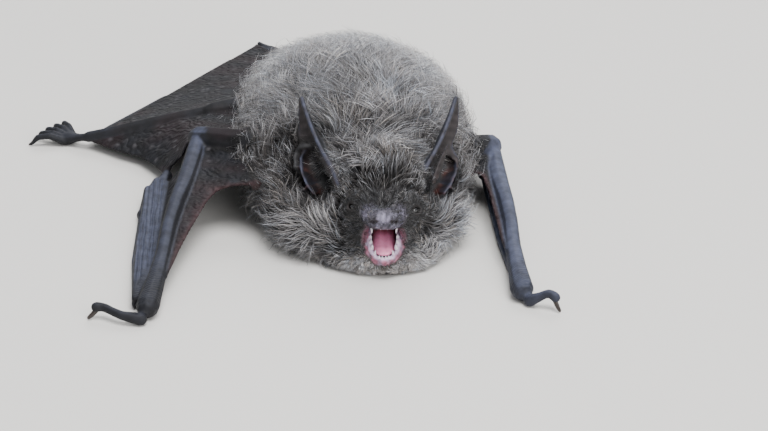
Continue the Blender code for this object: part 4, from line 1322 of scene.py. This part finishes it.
def coat_weights(points, shares):
    """How thickly the coat grows at each point of the skin."""
    front = bell(points, (0, -1.6, 7.7), (2.6, 1.6, 1.1))
    bare = [shares[name] for name in ("mouth", "gum", "lips", "eye", "nostril")]
    bare += [shares["nose"] * (0.6 + 0.4 * front), shares["ear"] * ramp(points[:, 2], 7.6, 9.4)]
    spread = np.maximum(shares["limb"], shares["web"])
    over_limbs = shares["fringe"] * spread * (0.5 + 1.0 * ramp(shares["room"], 0.0, 0.25))
    grown = ramp(shares["room"], 0.02, 0.1) * (1 - spread) + over_limbs
    return grown * (1 - np.maximum.reduce(bare)) * (1 - 0.6 * shares["hollow"])


class BAT_OT_coat(bpy.types.Operator):
    """Grow the long coat and the short coat of the face as solid tufts"""

    bl_idname = "bat.coat"
    bl_label = "Coat"

    def execute(self, context):
        coat = context.scene.bat_coat
        rng = np.random.default_rng(7)
        points, faces = skin_surface()
        shares = regions(points)
        short = fade(shares["room"], 0.9, 1.5)
        low = fade(points[:, 2], 1.6, 3.0) * ramp(points[:, 2], 0.1, 0.5)
        weights = coat_weights(points, shares) * (1 + 1.5 * low * short)
        long_share = 1 - 0.85 * short * (1 - 0.6 * low)
        self.long_coat(coat, sampled(points, faces, weights * long_share, coat.tufts, rng), rng)

        finish = coat_finish("Face coat")
        short = short * (1 - np.maximum(shares["limb"], shares["web"]))
        near = fade(away(points, (0, 3.0, 6.0)), 8.5, 10.0)
        fine = short * fade(shares["room"], 0.25, 0.9) * near
        for name, count, share, steps, most, width in (
            ("face_coat", coat.face_tufts, short, 2, 2.4, 0.7),
            ("muzzle_coat", coat.velvet, fine, 1, 0.75, 0.55),
        ):
            roots = sampled(points, faces, weights * share, count, rng)
            self.short_coat(coat, name, roots, steps, most, width, finish, rng)
        return {"FINISHED"}

    def long_coat(self, coat, roots, rng):
        """The long coat, cut along the body into pieces of even size."""
        count = len(roots)
        room = -body_form()["coat"].at(roots)
        fringe, bridge = fringe_share(roots, room), nape(roots)
        open_ear = fade(hollow_distance(roots.T), 0.4, 2.6)
        guard = (rng.random(count) < GUARD_SHARE) * (1 - fringe) * (1 - open_ear)
        depth = bpy.context.scene.bat_skin.coat_depth / MM
        lengths = np.clip(room / depth * coat.length / MM, *LONG_LIMITS)
        lengths = lengths * (1 - fringe * 0.9) + 1.5 * (fringe * 0.9)
        lengths = (lengths + 1.3 * bridge) * rng.uniform(0.7, 1.2, count)
        lengths = lengths * (1 + 0.3 * guard) * (1 - 0.35 * open_ear)
        lifts = np.clip(1.15 * room / lengths + 0.12 * bridge + 0.12 * guard, 0.17, 0.9)
        rings, owner = combed(roots, lengths, lifts, LONG_STEPS, rng, turn_share=1.0)
        slack = rng.uniform(-0.45, 0.6, count) * (1 - open_ear) + 1.6 * bridge + 3.0 * fringe + 0.9 * guard
        slack = (slack - 0.2 * open_ear) * (1 - 0.65 * ramp(roots[:, 2], 10.0, 12.5))
        rings = within_coat(rings, slack)
        colours = coat_colours(roots, LONG_STEPS, owner, rng)
        widths = coat.width / MM * rng.uniform(0.6, 1.2, count) * (1 - 0.35 * guard) * (1 - 0.4 * fringe)
        seats, finish = unwrap(roots), coat_finish("Bat coat")
        pieces = math.ceil(count * TUFT_TRIANGLES / PIECE_TRIANGLES)
        for number, mine in enumerate(np.array_split(np.argsort(roots[:, 1]), pieces), 1):
            name = f"coat_{number}"
            lines, tints = [ring[mine] for ring in rings], [colour[mine] for colour in colours]
            mesh = tuft_mesh(name, lines, widths[mine], tints, seats[mine], rng)
            shown(name, mesh, finish, "coat", *COAT_NODES)

    def short_coat(self, coat, name, roots, steps, most, width, finish, rng):
        """A piece of the short coat of the face, with hairs up to the most length."""
        count = len(roots)
        room = np.maximum(-body_form()["coat"].at(roots), 0.05)
        lengths = np.clip(1.9 * room * rng.uniform(0.7, 1.25, count), 0.3, most)
        lifts = np.clip(1.05 * room / lengths, 0.22, 0.85)
        rings, owner = combed(roots, lengths, lifts, steps, rng, turn_share=0.4)
        rings = within_coat(rings, rng.uniform(0.0, 0.3, count))
        colours = coat_colours(roots, steps, owner, rng)
        widths = width * coat.width / MM * rng.uniform(0.7, 1.2, count)
        mesh = tuft_mesh(name, rings, widths, colours, unwrap(roots), rng)
        shown(name, mesh, finish, "coat", *COAT_NODES)


# ---------------------------------------------------------------- horn and hairs on points

# teeth of one side, three above and six below: x, y, heights of the root and the tip, and radius
TEETH = ((0.4, -0.85, 6.85, 6.35, 0.13), (1.42, -0.25, 6.9, 5.75, 0.18), (1.58, 0.75, 6.7, 5.9, 0.2))
TEETH += ((0.2, -0.68, 2.6, 2.98, 0.17), (0.55, -0.6, 2.65, 3.02, 0.17), (1.02, -0.28, 2.95, 3.5, 0.18))
TEETH += ((1.36, 0.2, 3.5, 3.95, 0.24), (1.5, 0.62, 3.95, 4.35, 0.24), (1.56, 1.1, 4.35, 4.75, 0.24))
# the tongue's root: its deeper red, darkened as painted shade at the back of the mouth
TONGUE_ROOT = (0.62, 0.06, 0.09)
# root, tip, radii across and deep, and the side that the claw bends to
THUMB_CLAWS = [
    ((-30.7, -9.9, 1.35), (-31.6, -10.3, 0.25), 0.26, 0.34, (-1, 0, 1)),
    ((18.35, -7.9, 1.6), (18.85, -8.6, 0.3), 0.26, 0.34, (1, -0.5, 0.8)),
]
CLAW_START, CLAW_END = (3.15, 0.55), (4.25, -0.45)  # out along the toe, and up
TOE_CLAW_RADII = (0.16, 0.2)
EYE_BLACK = (0.004, 0.004, 0.005)
WHISKERS, WHISKER_RADIUS = 54, 0.011  # how many, and radius as a share of the length
WHISKER_HAIR = (0.03, 0.028, 0.028)


def spike_tree():
    """Curved tapering spikes on points that carry a turn and a size."""
    inputs = ["Points:Geometry", "Bend", "Radius", "Tip", "Sides:Int", "Rings:Int", "Material:Material"]
    tree, start, end = new_group("Curved spikes", inputs, ["Spikes:Geometry"], "GeometryNodeTree")
    tip = add_node(tree, "ShaderNodeCombineXYZ", {"Z": 1.0})
    arc = add_node(tree, "GeometryNodeCurveQuadraticBezier", {"Start": (0, 0, 0), "Middle": (0, 0, 0.55)})
    along = add_node(tree, "GeometryNodeSplineParameter")
    round_off = add_node(tree, "ShaderNodeMath", {1: 1.4}, operation="POWER")
    taper = add_node(tree, "ShaderNodeMapRange", {"To Min": 1.0})
    ring = add_node(tree, "GeometryNodeCurvePrimitiveCircle")
    body = add_node(tree, "GeometryNodeCurveToMesh", {"Fill Caps": True})
    turn = add_node(tree, "GeometryNodeInputNamedAttribute", {"Name": "turn"}, data_type="QUATERNION")
    size = add_node(tree, "GeometryNodeInputNamedAttribute", {"Name": "size"}, data_type="FLOAT_VECTOR")
    spread = add_node(tree, "GeometryNodeInstanceOnPoints")
    real = add_node(tree, "GeometryNodeRealizeInstances")
    paint = add_node(tree, "GeometryNodeSetMaterial")
    join(
        tree,
        (start, "Bend", tip, "X"),
        (tip, 0, arc, "End"),
        (start, "Rings", arc, "Resolution"),
        (along, "Factor", round_off, 0),
        (round_off, 0, taper, "Value"),
        (start, "Tip", taper, "To Max"),
        (start, "Radius", ring, "Radius"),
        (start, "Sides", ring, "Resolution"),
        (arc, "Curve", body, "Curve"),
        (ring, "Curve", body, "Profile Curve"),
        (taper, "Result", body, "Scale"),
        (start, "Points", spread, "Points"),
        (body, "Mesh", spread, "Instance"),
        (turn, "Attribute", spread, "Rotation"),
        (size, "Attribute", spread, "Scale"),
        (spread, "Instances", real, "Geometry"),
        (real, "Geometry", paint, "Geometry"),
        (start, "Material", paint, "Material"),
        (paint, "Geometry", end, "Spikes"),
    )
    return tree


def spikes(name, rows, material, slot, nodes=(), slender=None, **shape):
    """Rows are (root, tip, across radius, deep radius, side that the spike bends to).

    Slender hairs have one radius, a share of their length, and bend by a share of it.
    """
    points = bpy.data.meshes.new(name + " points")
    points.vertices.add(len(rows))
    turns, sizes, places = [], [], []
    for root, end, across, deep, towards in rows:
        root, end = Vector(root), Vector(end)
        up = (end - root).normalized()
        side = Vector(towards)
        side = (side - up * side.dot(up)).normalized()
        turns += list(Matrix((side, up.cross(side), up)).transposed().to_quaternion())
        length = (end - root).length
        sizes += [size * MM for size in ((deep, across, length) if slender is None else (length,) * 3)]
        places += list(in_world(root))
    points.vertices.foreach_set("co", places)
    points.attributes.new("turn", "QUATERNION", "POINT").data.foreach_set("value", turns)
    points.attributes.new("size", "FLOAT_VECTOR", "POINT").data.foreach_set("vector", sizes)
    holder = bpy.data.objects.new(name + " holder", points)
    bpy.context.scene.collection.objects.link(holder)
    maker = holder.modifiers.new("Spikes", "NODES")
    maker.node_group = bpy.data.node_groups.get("Curved spikes") or spike_tree()
    sockets = maker.node_group.interface.items_tree
    inputs = {socket.name: socket.identifier for socket in sockets if socket.in_out == "INPUT"}
    shape |= {"radius": slender or 1.0, "material": material}
    for key, value in shape.items():
        maker[inputs[key.capitalize()]] = value
    mesh = made_mesh(holder)
    if not mesh.polygons:
        raise RuntimeError(f"no spikes were made for {name}")
    mesh.polygons.foreach_set("use_smooth", np.ones(len(mesh.polygons), bool))
    shown(name, mesh, material, slot, *nodes)


def tongue_mesh():
    """A wide tongue with a groove, from the throat to its round tip."""
    sides, rings, length, droop, half_width = 40, 28, 6.85, 0.85, 1.27
    t = np.linspace(0, 1, rings)
    y = 6.6 - length * t
    z = 3.75 - droop * t**2.2
    half = half_width * np.sqrt(np.clip(1 - ((t - 0.42) / 0.585) ** 6, 0, 1)) + 0.02
    thick = 0.42 + 0.12 * np.sin(t * math.pi)
    thick = thick * np.clip((1 - t) * 9, 0.02, 1) ** 0.5 * np.clip(t * 12, 0.02, 1) ** 0.5  # round ends
    angle = np.linspace(0, math.tau, sides, endpoint=False)
    across = np.cos(angle)[None] * half[:, None]
    up = np.sin(angle)[None]
    groove = 0.3 * np.exp(-((across / 0.28) ** 2)) * (up > 0) * np.sin(t * math.pi)[:, None] ** 0.5
    height = z[:, None] + up * thick[:, None] - groove * thick[:, None]
    place = np.stack([across, np.repeat(y[:, None], sides, 1), height], axis=2).reshape(-1, 3)
    faces = []
    for i in range(rings - 1):
        for k in range(sides):
            a, b = i * sides + k, i * sides + (k + 1) % sides
            faces += [(a, b, b + sides), (a, b + sides, a + sides)]
    for ring, order in ((0, 1), (rings - 1, -1)):
        base = ring * sides
        faces += [(base, base + k + 1, base + k)[::order] for k in range(1, sides - 1)]
    mesh = mesh_from("tongue", place, np.array(faces))
    # darker towards the throat: painted shade at the back of the mouth
    shade = np.repeat(ramp(t, 0.2, 0.65), sides)
    keep_colour(mesh, blend(TONGUE_ROOT, bpy.context.scene.bat_face.tongue, shade))
    return mesh


class BAT_OT_mouth(bpy.types.Operator):
    """Set the teeth and the tongue in the open mouth"""

    bl_idname = "bat.mouth"
    bl_label = "Mouth"

    def execute(self, context):
        face = context.scene.bat_face
        enamel, _ = new_material("Enamel", 0.25, face.tooth)
        rows = []
        for sign in SIDES.values():
            for across, y, root, tip, radius in TEETH:
                x = sign * across
                rows.append(((x, y, root), (x * 0.94, y - 0.1, tip), radius, radius, (0, 1, 0)))
        spikes("teeth", rows, enamel, "mouth", bend=0.6, tip=0.18, sides=10, rings=8)
        wet, shader = new_material("Tongue", 0.3, face.tongue)
        tint = (carried(wet.node_tree), "Color")
        add_grain(wet, shader, size=5000.0, depth=0.00006, tint=tint, tone=0.15)
        shown("tongue", tongue_mesh(), wet, "mouth", "tongue")
        return {"FINISHED"}


class BAT_OT_eyes(bpy.types.Operator):
    """Set the two small black eyes in their lids"""

    bl_idname = "bat.eyes"
    bl_label = "Eyes"

    def execute(self, context):
        wet = {"Coat Weight": 1.0, "Coat Roughness": 0.02}
        black, _ = new_material("Eye", 0.06, EYE_BLACK, wet)
        radius = context.scene.bat_face.eye_radius
        for side in SIDES:
            bpy.ops.mesh.primitive_uv_sphere_add(segments=48, ring_count=24, radius=radius)
            ball = context.object
            mesh = ball.data
            mesh.transform(Matrix.Translation(in_world(EYE_PLACES[side])))
            bpy.data.objects.remove(ball)
            mesh.polygons.foreach_set("use_smooth", np.ones(len(mesh.polygons), bool))
            shown(f"eyeball_{side}", mesh, black, "eye", f"eye_{side}")
        return {"FINISHED"}


class BAT_OT_claws(bpy.types.Operator):
    """Set the thumb claws and the toe claws"""

    bl_idname = "bat.claws"
    bl_label = "Claws"

    def execute(self, context):
        horn, shader = new_material("Horn", 0.35, context.scene.bat_face.claw)
        add_grain(horn, shader, size=4000.0, depth=0.00002)
        toes = []
        for side in SIDES:
            ahead = direction(TOES[side])
            aside = np.array((-ahead[1], ahead[0], 0))
            sole = np.array(ANKLE[side]) + ahead * SOLE_REACH - np.array((0, 0, SOLE_DROP))
            for k in range(-2, 3):
                root = sole + aside * TOE_SPACING * k - ahead * 0.3
                heading = unit((ahead + aside * TOE_SPREAD * k)[None])[0]
                start, end = (root + heading * out + (0, 0, up) for out, up in (CLAW_START, CLAW_END))
                toes.append((start, end, *TOE_CLAW_RADII, (*heading[:2], 0.8)))
        spikes("toe_claws", toes, horn, "claw", bend=0.9, tip=0.08, sides=8, rings=8)
        claws = [f"thumb_claw_{side}" for side in SIDES]
        spikes("thumb_claws", THUMB_CLAWS, horn, "claw", claws, bend=0.9, tip=0.06, sides=12, rings=12)
        return {"FINISHED"}


class BAT_OT_whiskers(bpy.types.Operator):
    """Set the fine whiskers of the muzzle"""

    bl_idname = "bat.whiskers"
    bl_label = "Whiskers"

    def execute(self, context):
        rng = np.random.default_rng(3)
        points, faces = skin_surface()
        shares = regions(points)
        x, y, z = points.T
        pads = bell(np.stack([np.abs(x), y, z], axis=1), (2.1, 0.4, 7.3), (0.8, 1.1, 0.9))
        weights = pads * (1 - shares["mouth"]) * (1 - shares["gum"])
        roots = sampled(points, faces, weights, WHISKERS, rng)
        ways = body_form()["skin"].slope(roots) * 0.8 + unit(roots - np.array((0, 1.0, 6.3))) * 0.5
        ways = unit(ways + rng.normal(0, 0.22, roots.shape) + (0, 0.15, 0))
        lengths = context.scene.bat_face.whisker / MM * rng.uniform(0.35, 1.0, len(roots))
        rows = [
            (root - way * 0.1, root + way * length, 0, 0, (0, 0.6, -1))
            for root, way, length in zip(roots, ways, lengths)
        ]
        hair, _ = new_material("Whisker hair", 0.45, WHISKER_HAIR)
        spikes("whiskers", rows, hair, "coat", slender=WHISKER_RADIUS, bend=0.22, tip=0.2, sides=4, rings=7)
        return {"FINISHED"}


# ---------------------------------------------------------------- stage

FLOOR_SIZE = 6.0
NOSE_TIP = (0, 0, 7.62)
SKY_COLOUR, SKY_STRENGTH = (0.93, 0.96, 1.0, 1), 0.55
LIGHTS = (
    # name, metres from the nose, size, watts
    ("key", (0.08, -0.15, 0.56), 0.35, 4.7),
    ("fill", (0.3, -0.5, 0.25), 0.35, 2.4),
    ("back", (0.1, 0.5, 0.4), 0.4, 2.2),
)
SENSOR, CLIP_START, CLIP_END = 36.0, 0.01, 20.0


class BAT_OT_stage(bpy.types.Operator):
    """Lay the floor and set the light and the camera"""

    bl_idname = "bat.stage"
    bl_label = "Stage"

    def execute(self, context):
        stage = context.scene.bat_stage
        bpy.ops.mesh.primitive_plane_add(size=FLOOR_SIZE)
        floor = context.object
        floor.name = "floor"
        paper, _ = new_material("Pale floor", 0.85, stage.floor)
        floor.data.materials.append(paper)

        world = bpy.data.worlds.new("Studio")
        world.use_nodes = True
        sky = world.node_tree.nodes["Background"]
        sky.inputs["Color"].default_value = SKY_COLOUR
        sky.inputs["Strength"].default_value = SKY_STRENGTH
        context.scene.world = world

        nose = Vector(in_world(NOSE_TIP))
        for name, offset, size, power in LIGHTS:
            light = bpy.data.lights.new(name, "AREA")
            light.size, light.energy = size, power
            lamp = bpy.data.objects.new(name, light)
            lamp.location = nose + Vector(offset)
            lamp.rotation_euler = (-Vector(offset)).to_track_quat("-Z", "Y").to_euler()
            context.scene.collection.objects.link(lamp)

        lens = bpy.data.cameras.new("camera")
        lens.lens, lens.sensor_width = stage.lens, SENSOR
        lens.clip_start, lens.clip_end = CLIP_START, CLIP_END
        camera = bpy.data.objects.new("camera", lens)
        away = Vector((0, -math.cos(stage.height), math.sin(stage.height)))
        camera.location = nose + away * stage.distance
        camera.rotation_euler = (math.pi / 2 - stage.height, 0, 0)
        context.scene.collection.objects.link(camera)
        context.scene.camera = camera
        return {"FINISHED"}


# ---------------------------------------------------------------- panel and main


class BAT_PT_panel(bpy.types.Panel):
    """Settings and pieces of the bat"""

    bl_idname = "BAT_PT_panel"
    bl_label = "Whiskered bat"
    bl_space_type = "VIEW_3D"
    bl_region_type = "UI"
    bl_category = "Bat"

    def draw(self, context):
        for label, group in (
            ("Skin", context.scene.bat_skin),
            ("Coat", context.scene.bat_coat),
            ("Face", context.scene.bat_face),
            ("Stage", context.scene.bat_stage),
        ):
            box = self.layout.box()
            box.label(text=label)
            for name in group.__annotations__:
                box.prop(group, name)
        for operator in OPERATORS:
            self.layout.operator(operator.bl_idname)


SETTINGS = {
    "bat_skin": BatSkinSettings,
    "bat_coat": BatCoatSettings,
    "bat_face": BatFaceSettings,
    "bat_stage": BatStageSettings,
}
OPERATORS = (BAT_OT_skin, BAT_OT_eyes, BAT_OT_mouth, BAT_OT_claws, BAT_OT_whiskers, BAT_OT_coat, BAT_OT_stage)


def register():
    for item in (*SETTINGS.values(), *OPERATORS, BAT_PT_panel):
        bpy.utils.register_class(item)
    for name, kind in SETTINGS.items():
        setattr(bpy.types.Scene, name, PointerProperty(type=kind))


def unregister():
    for name in SETTINGS:
        delattr(bpy.types.Scene, name)
    for item in reversed((*SETTINGS.values(), *OPERATORS, BAT_PT_panel)):
        bpy.utils.unregister_class(item)


def main():
    register()
    for operator in OPERATORS:
        group, name = operator.bl_idname.split(".")
        getattr(getattr(bpy.ops, group), name)()


if __name__ == "__main__":
    main()
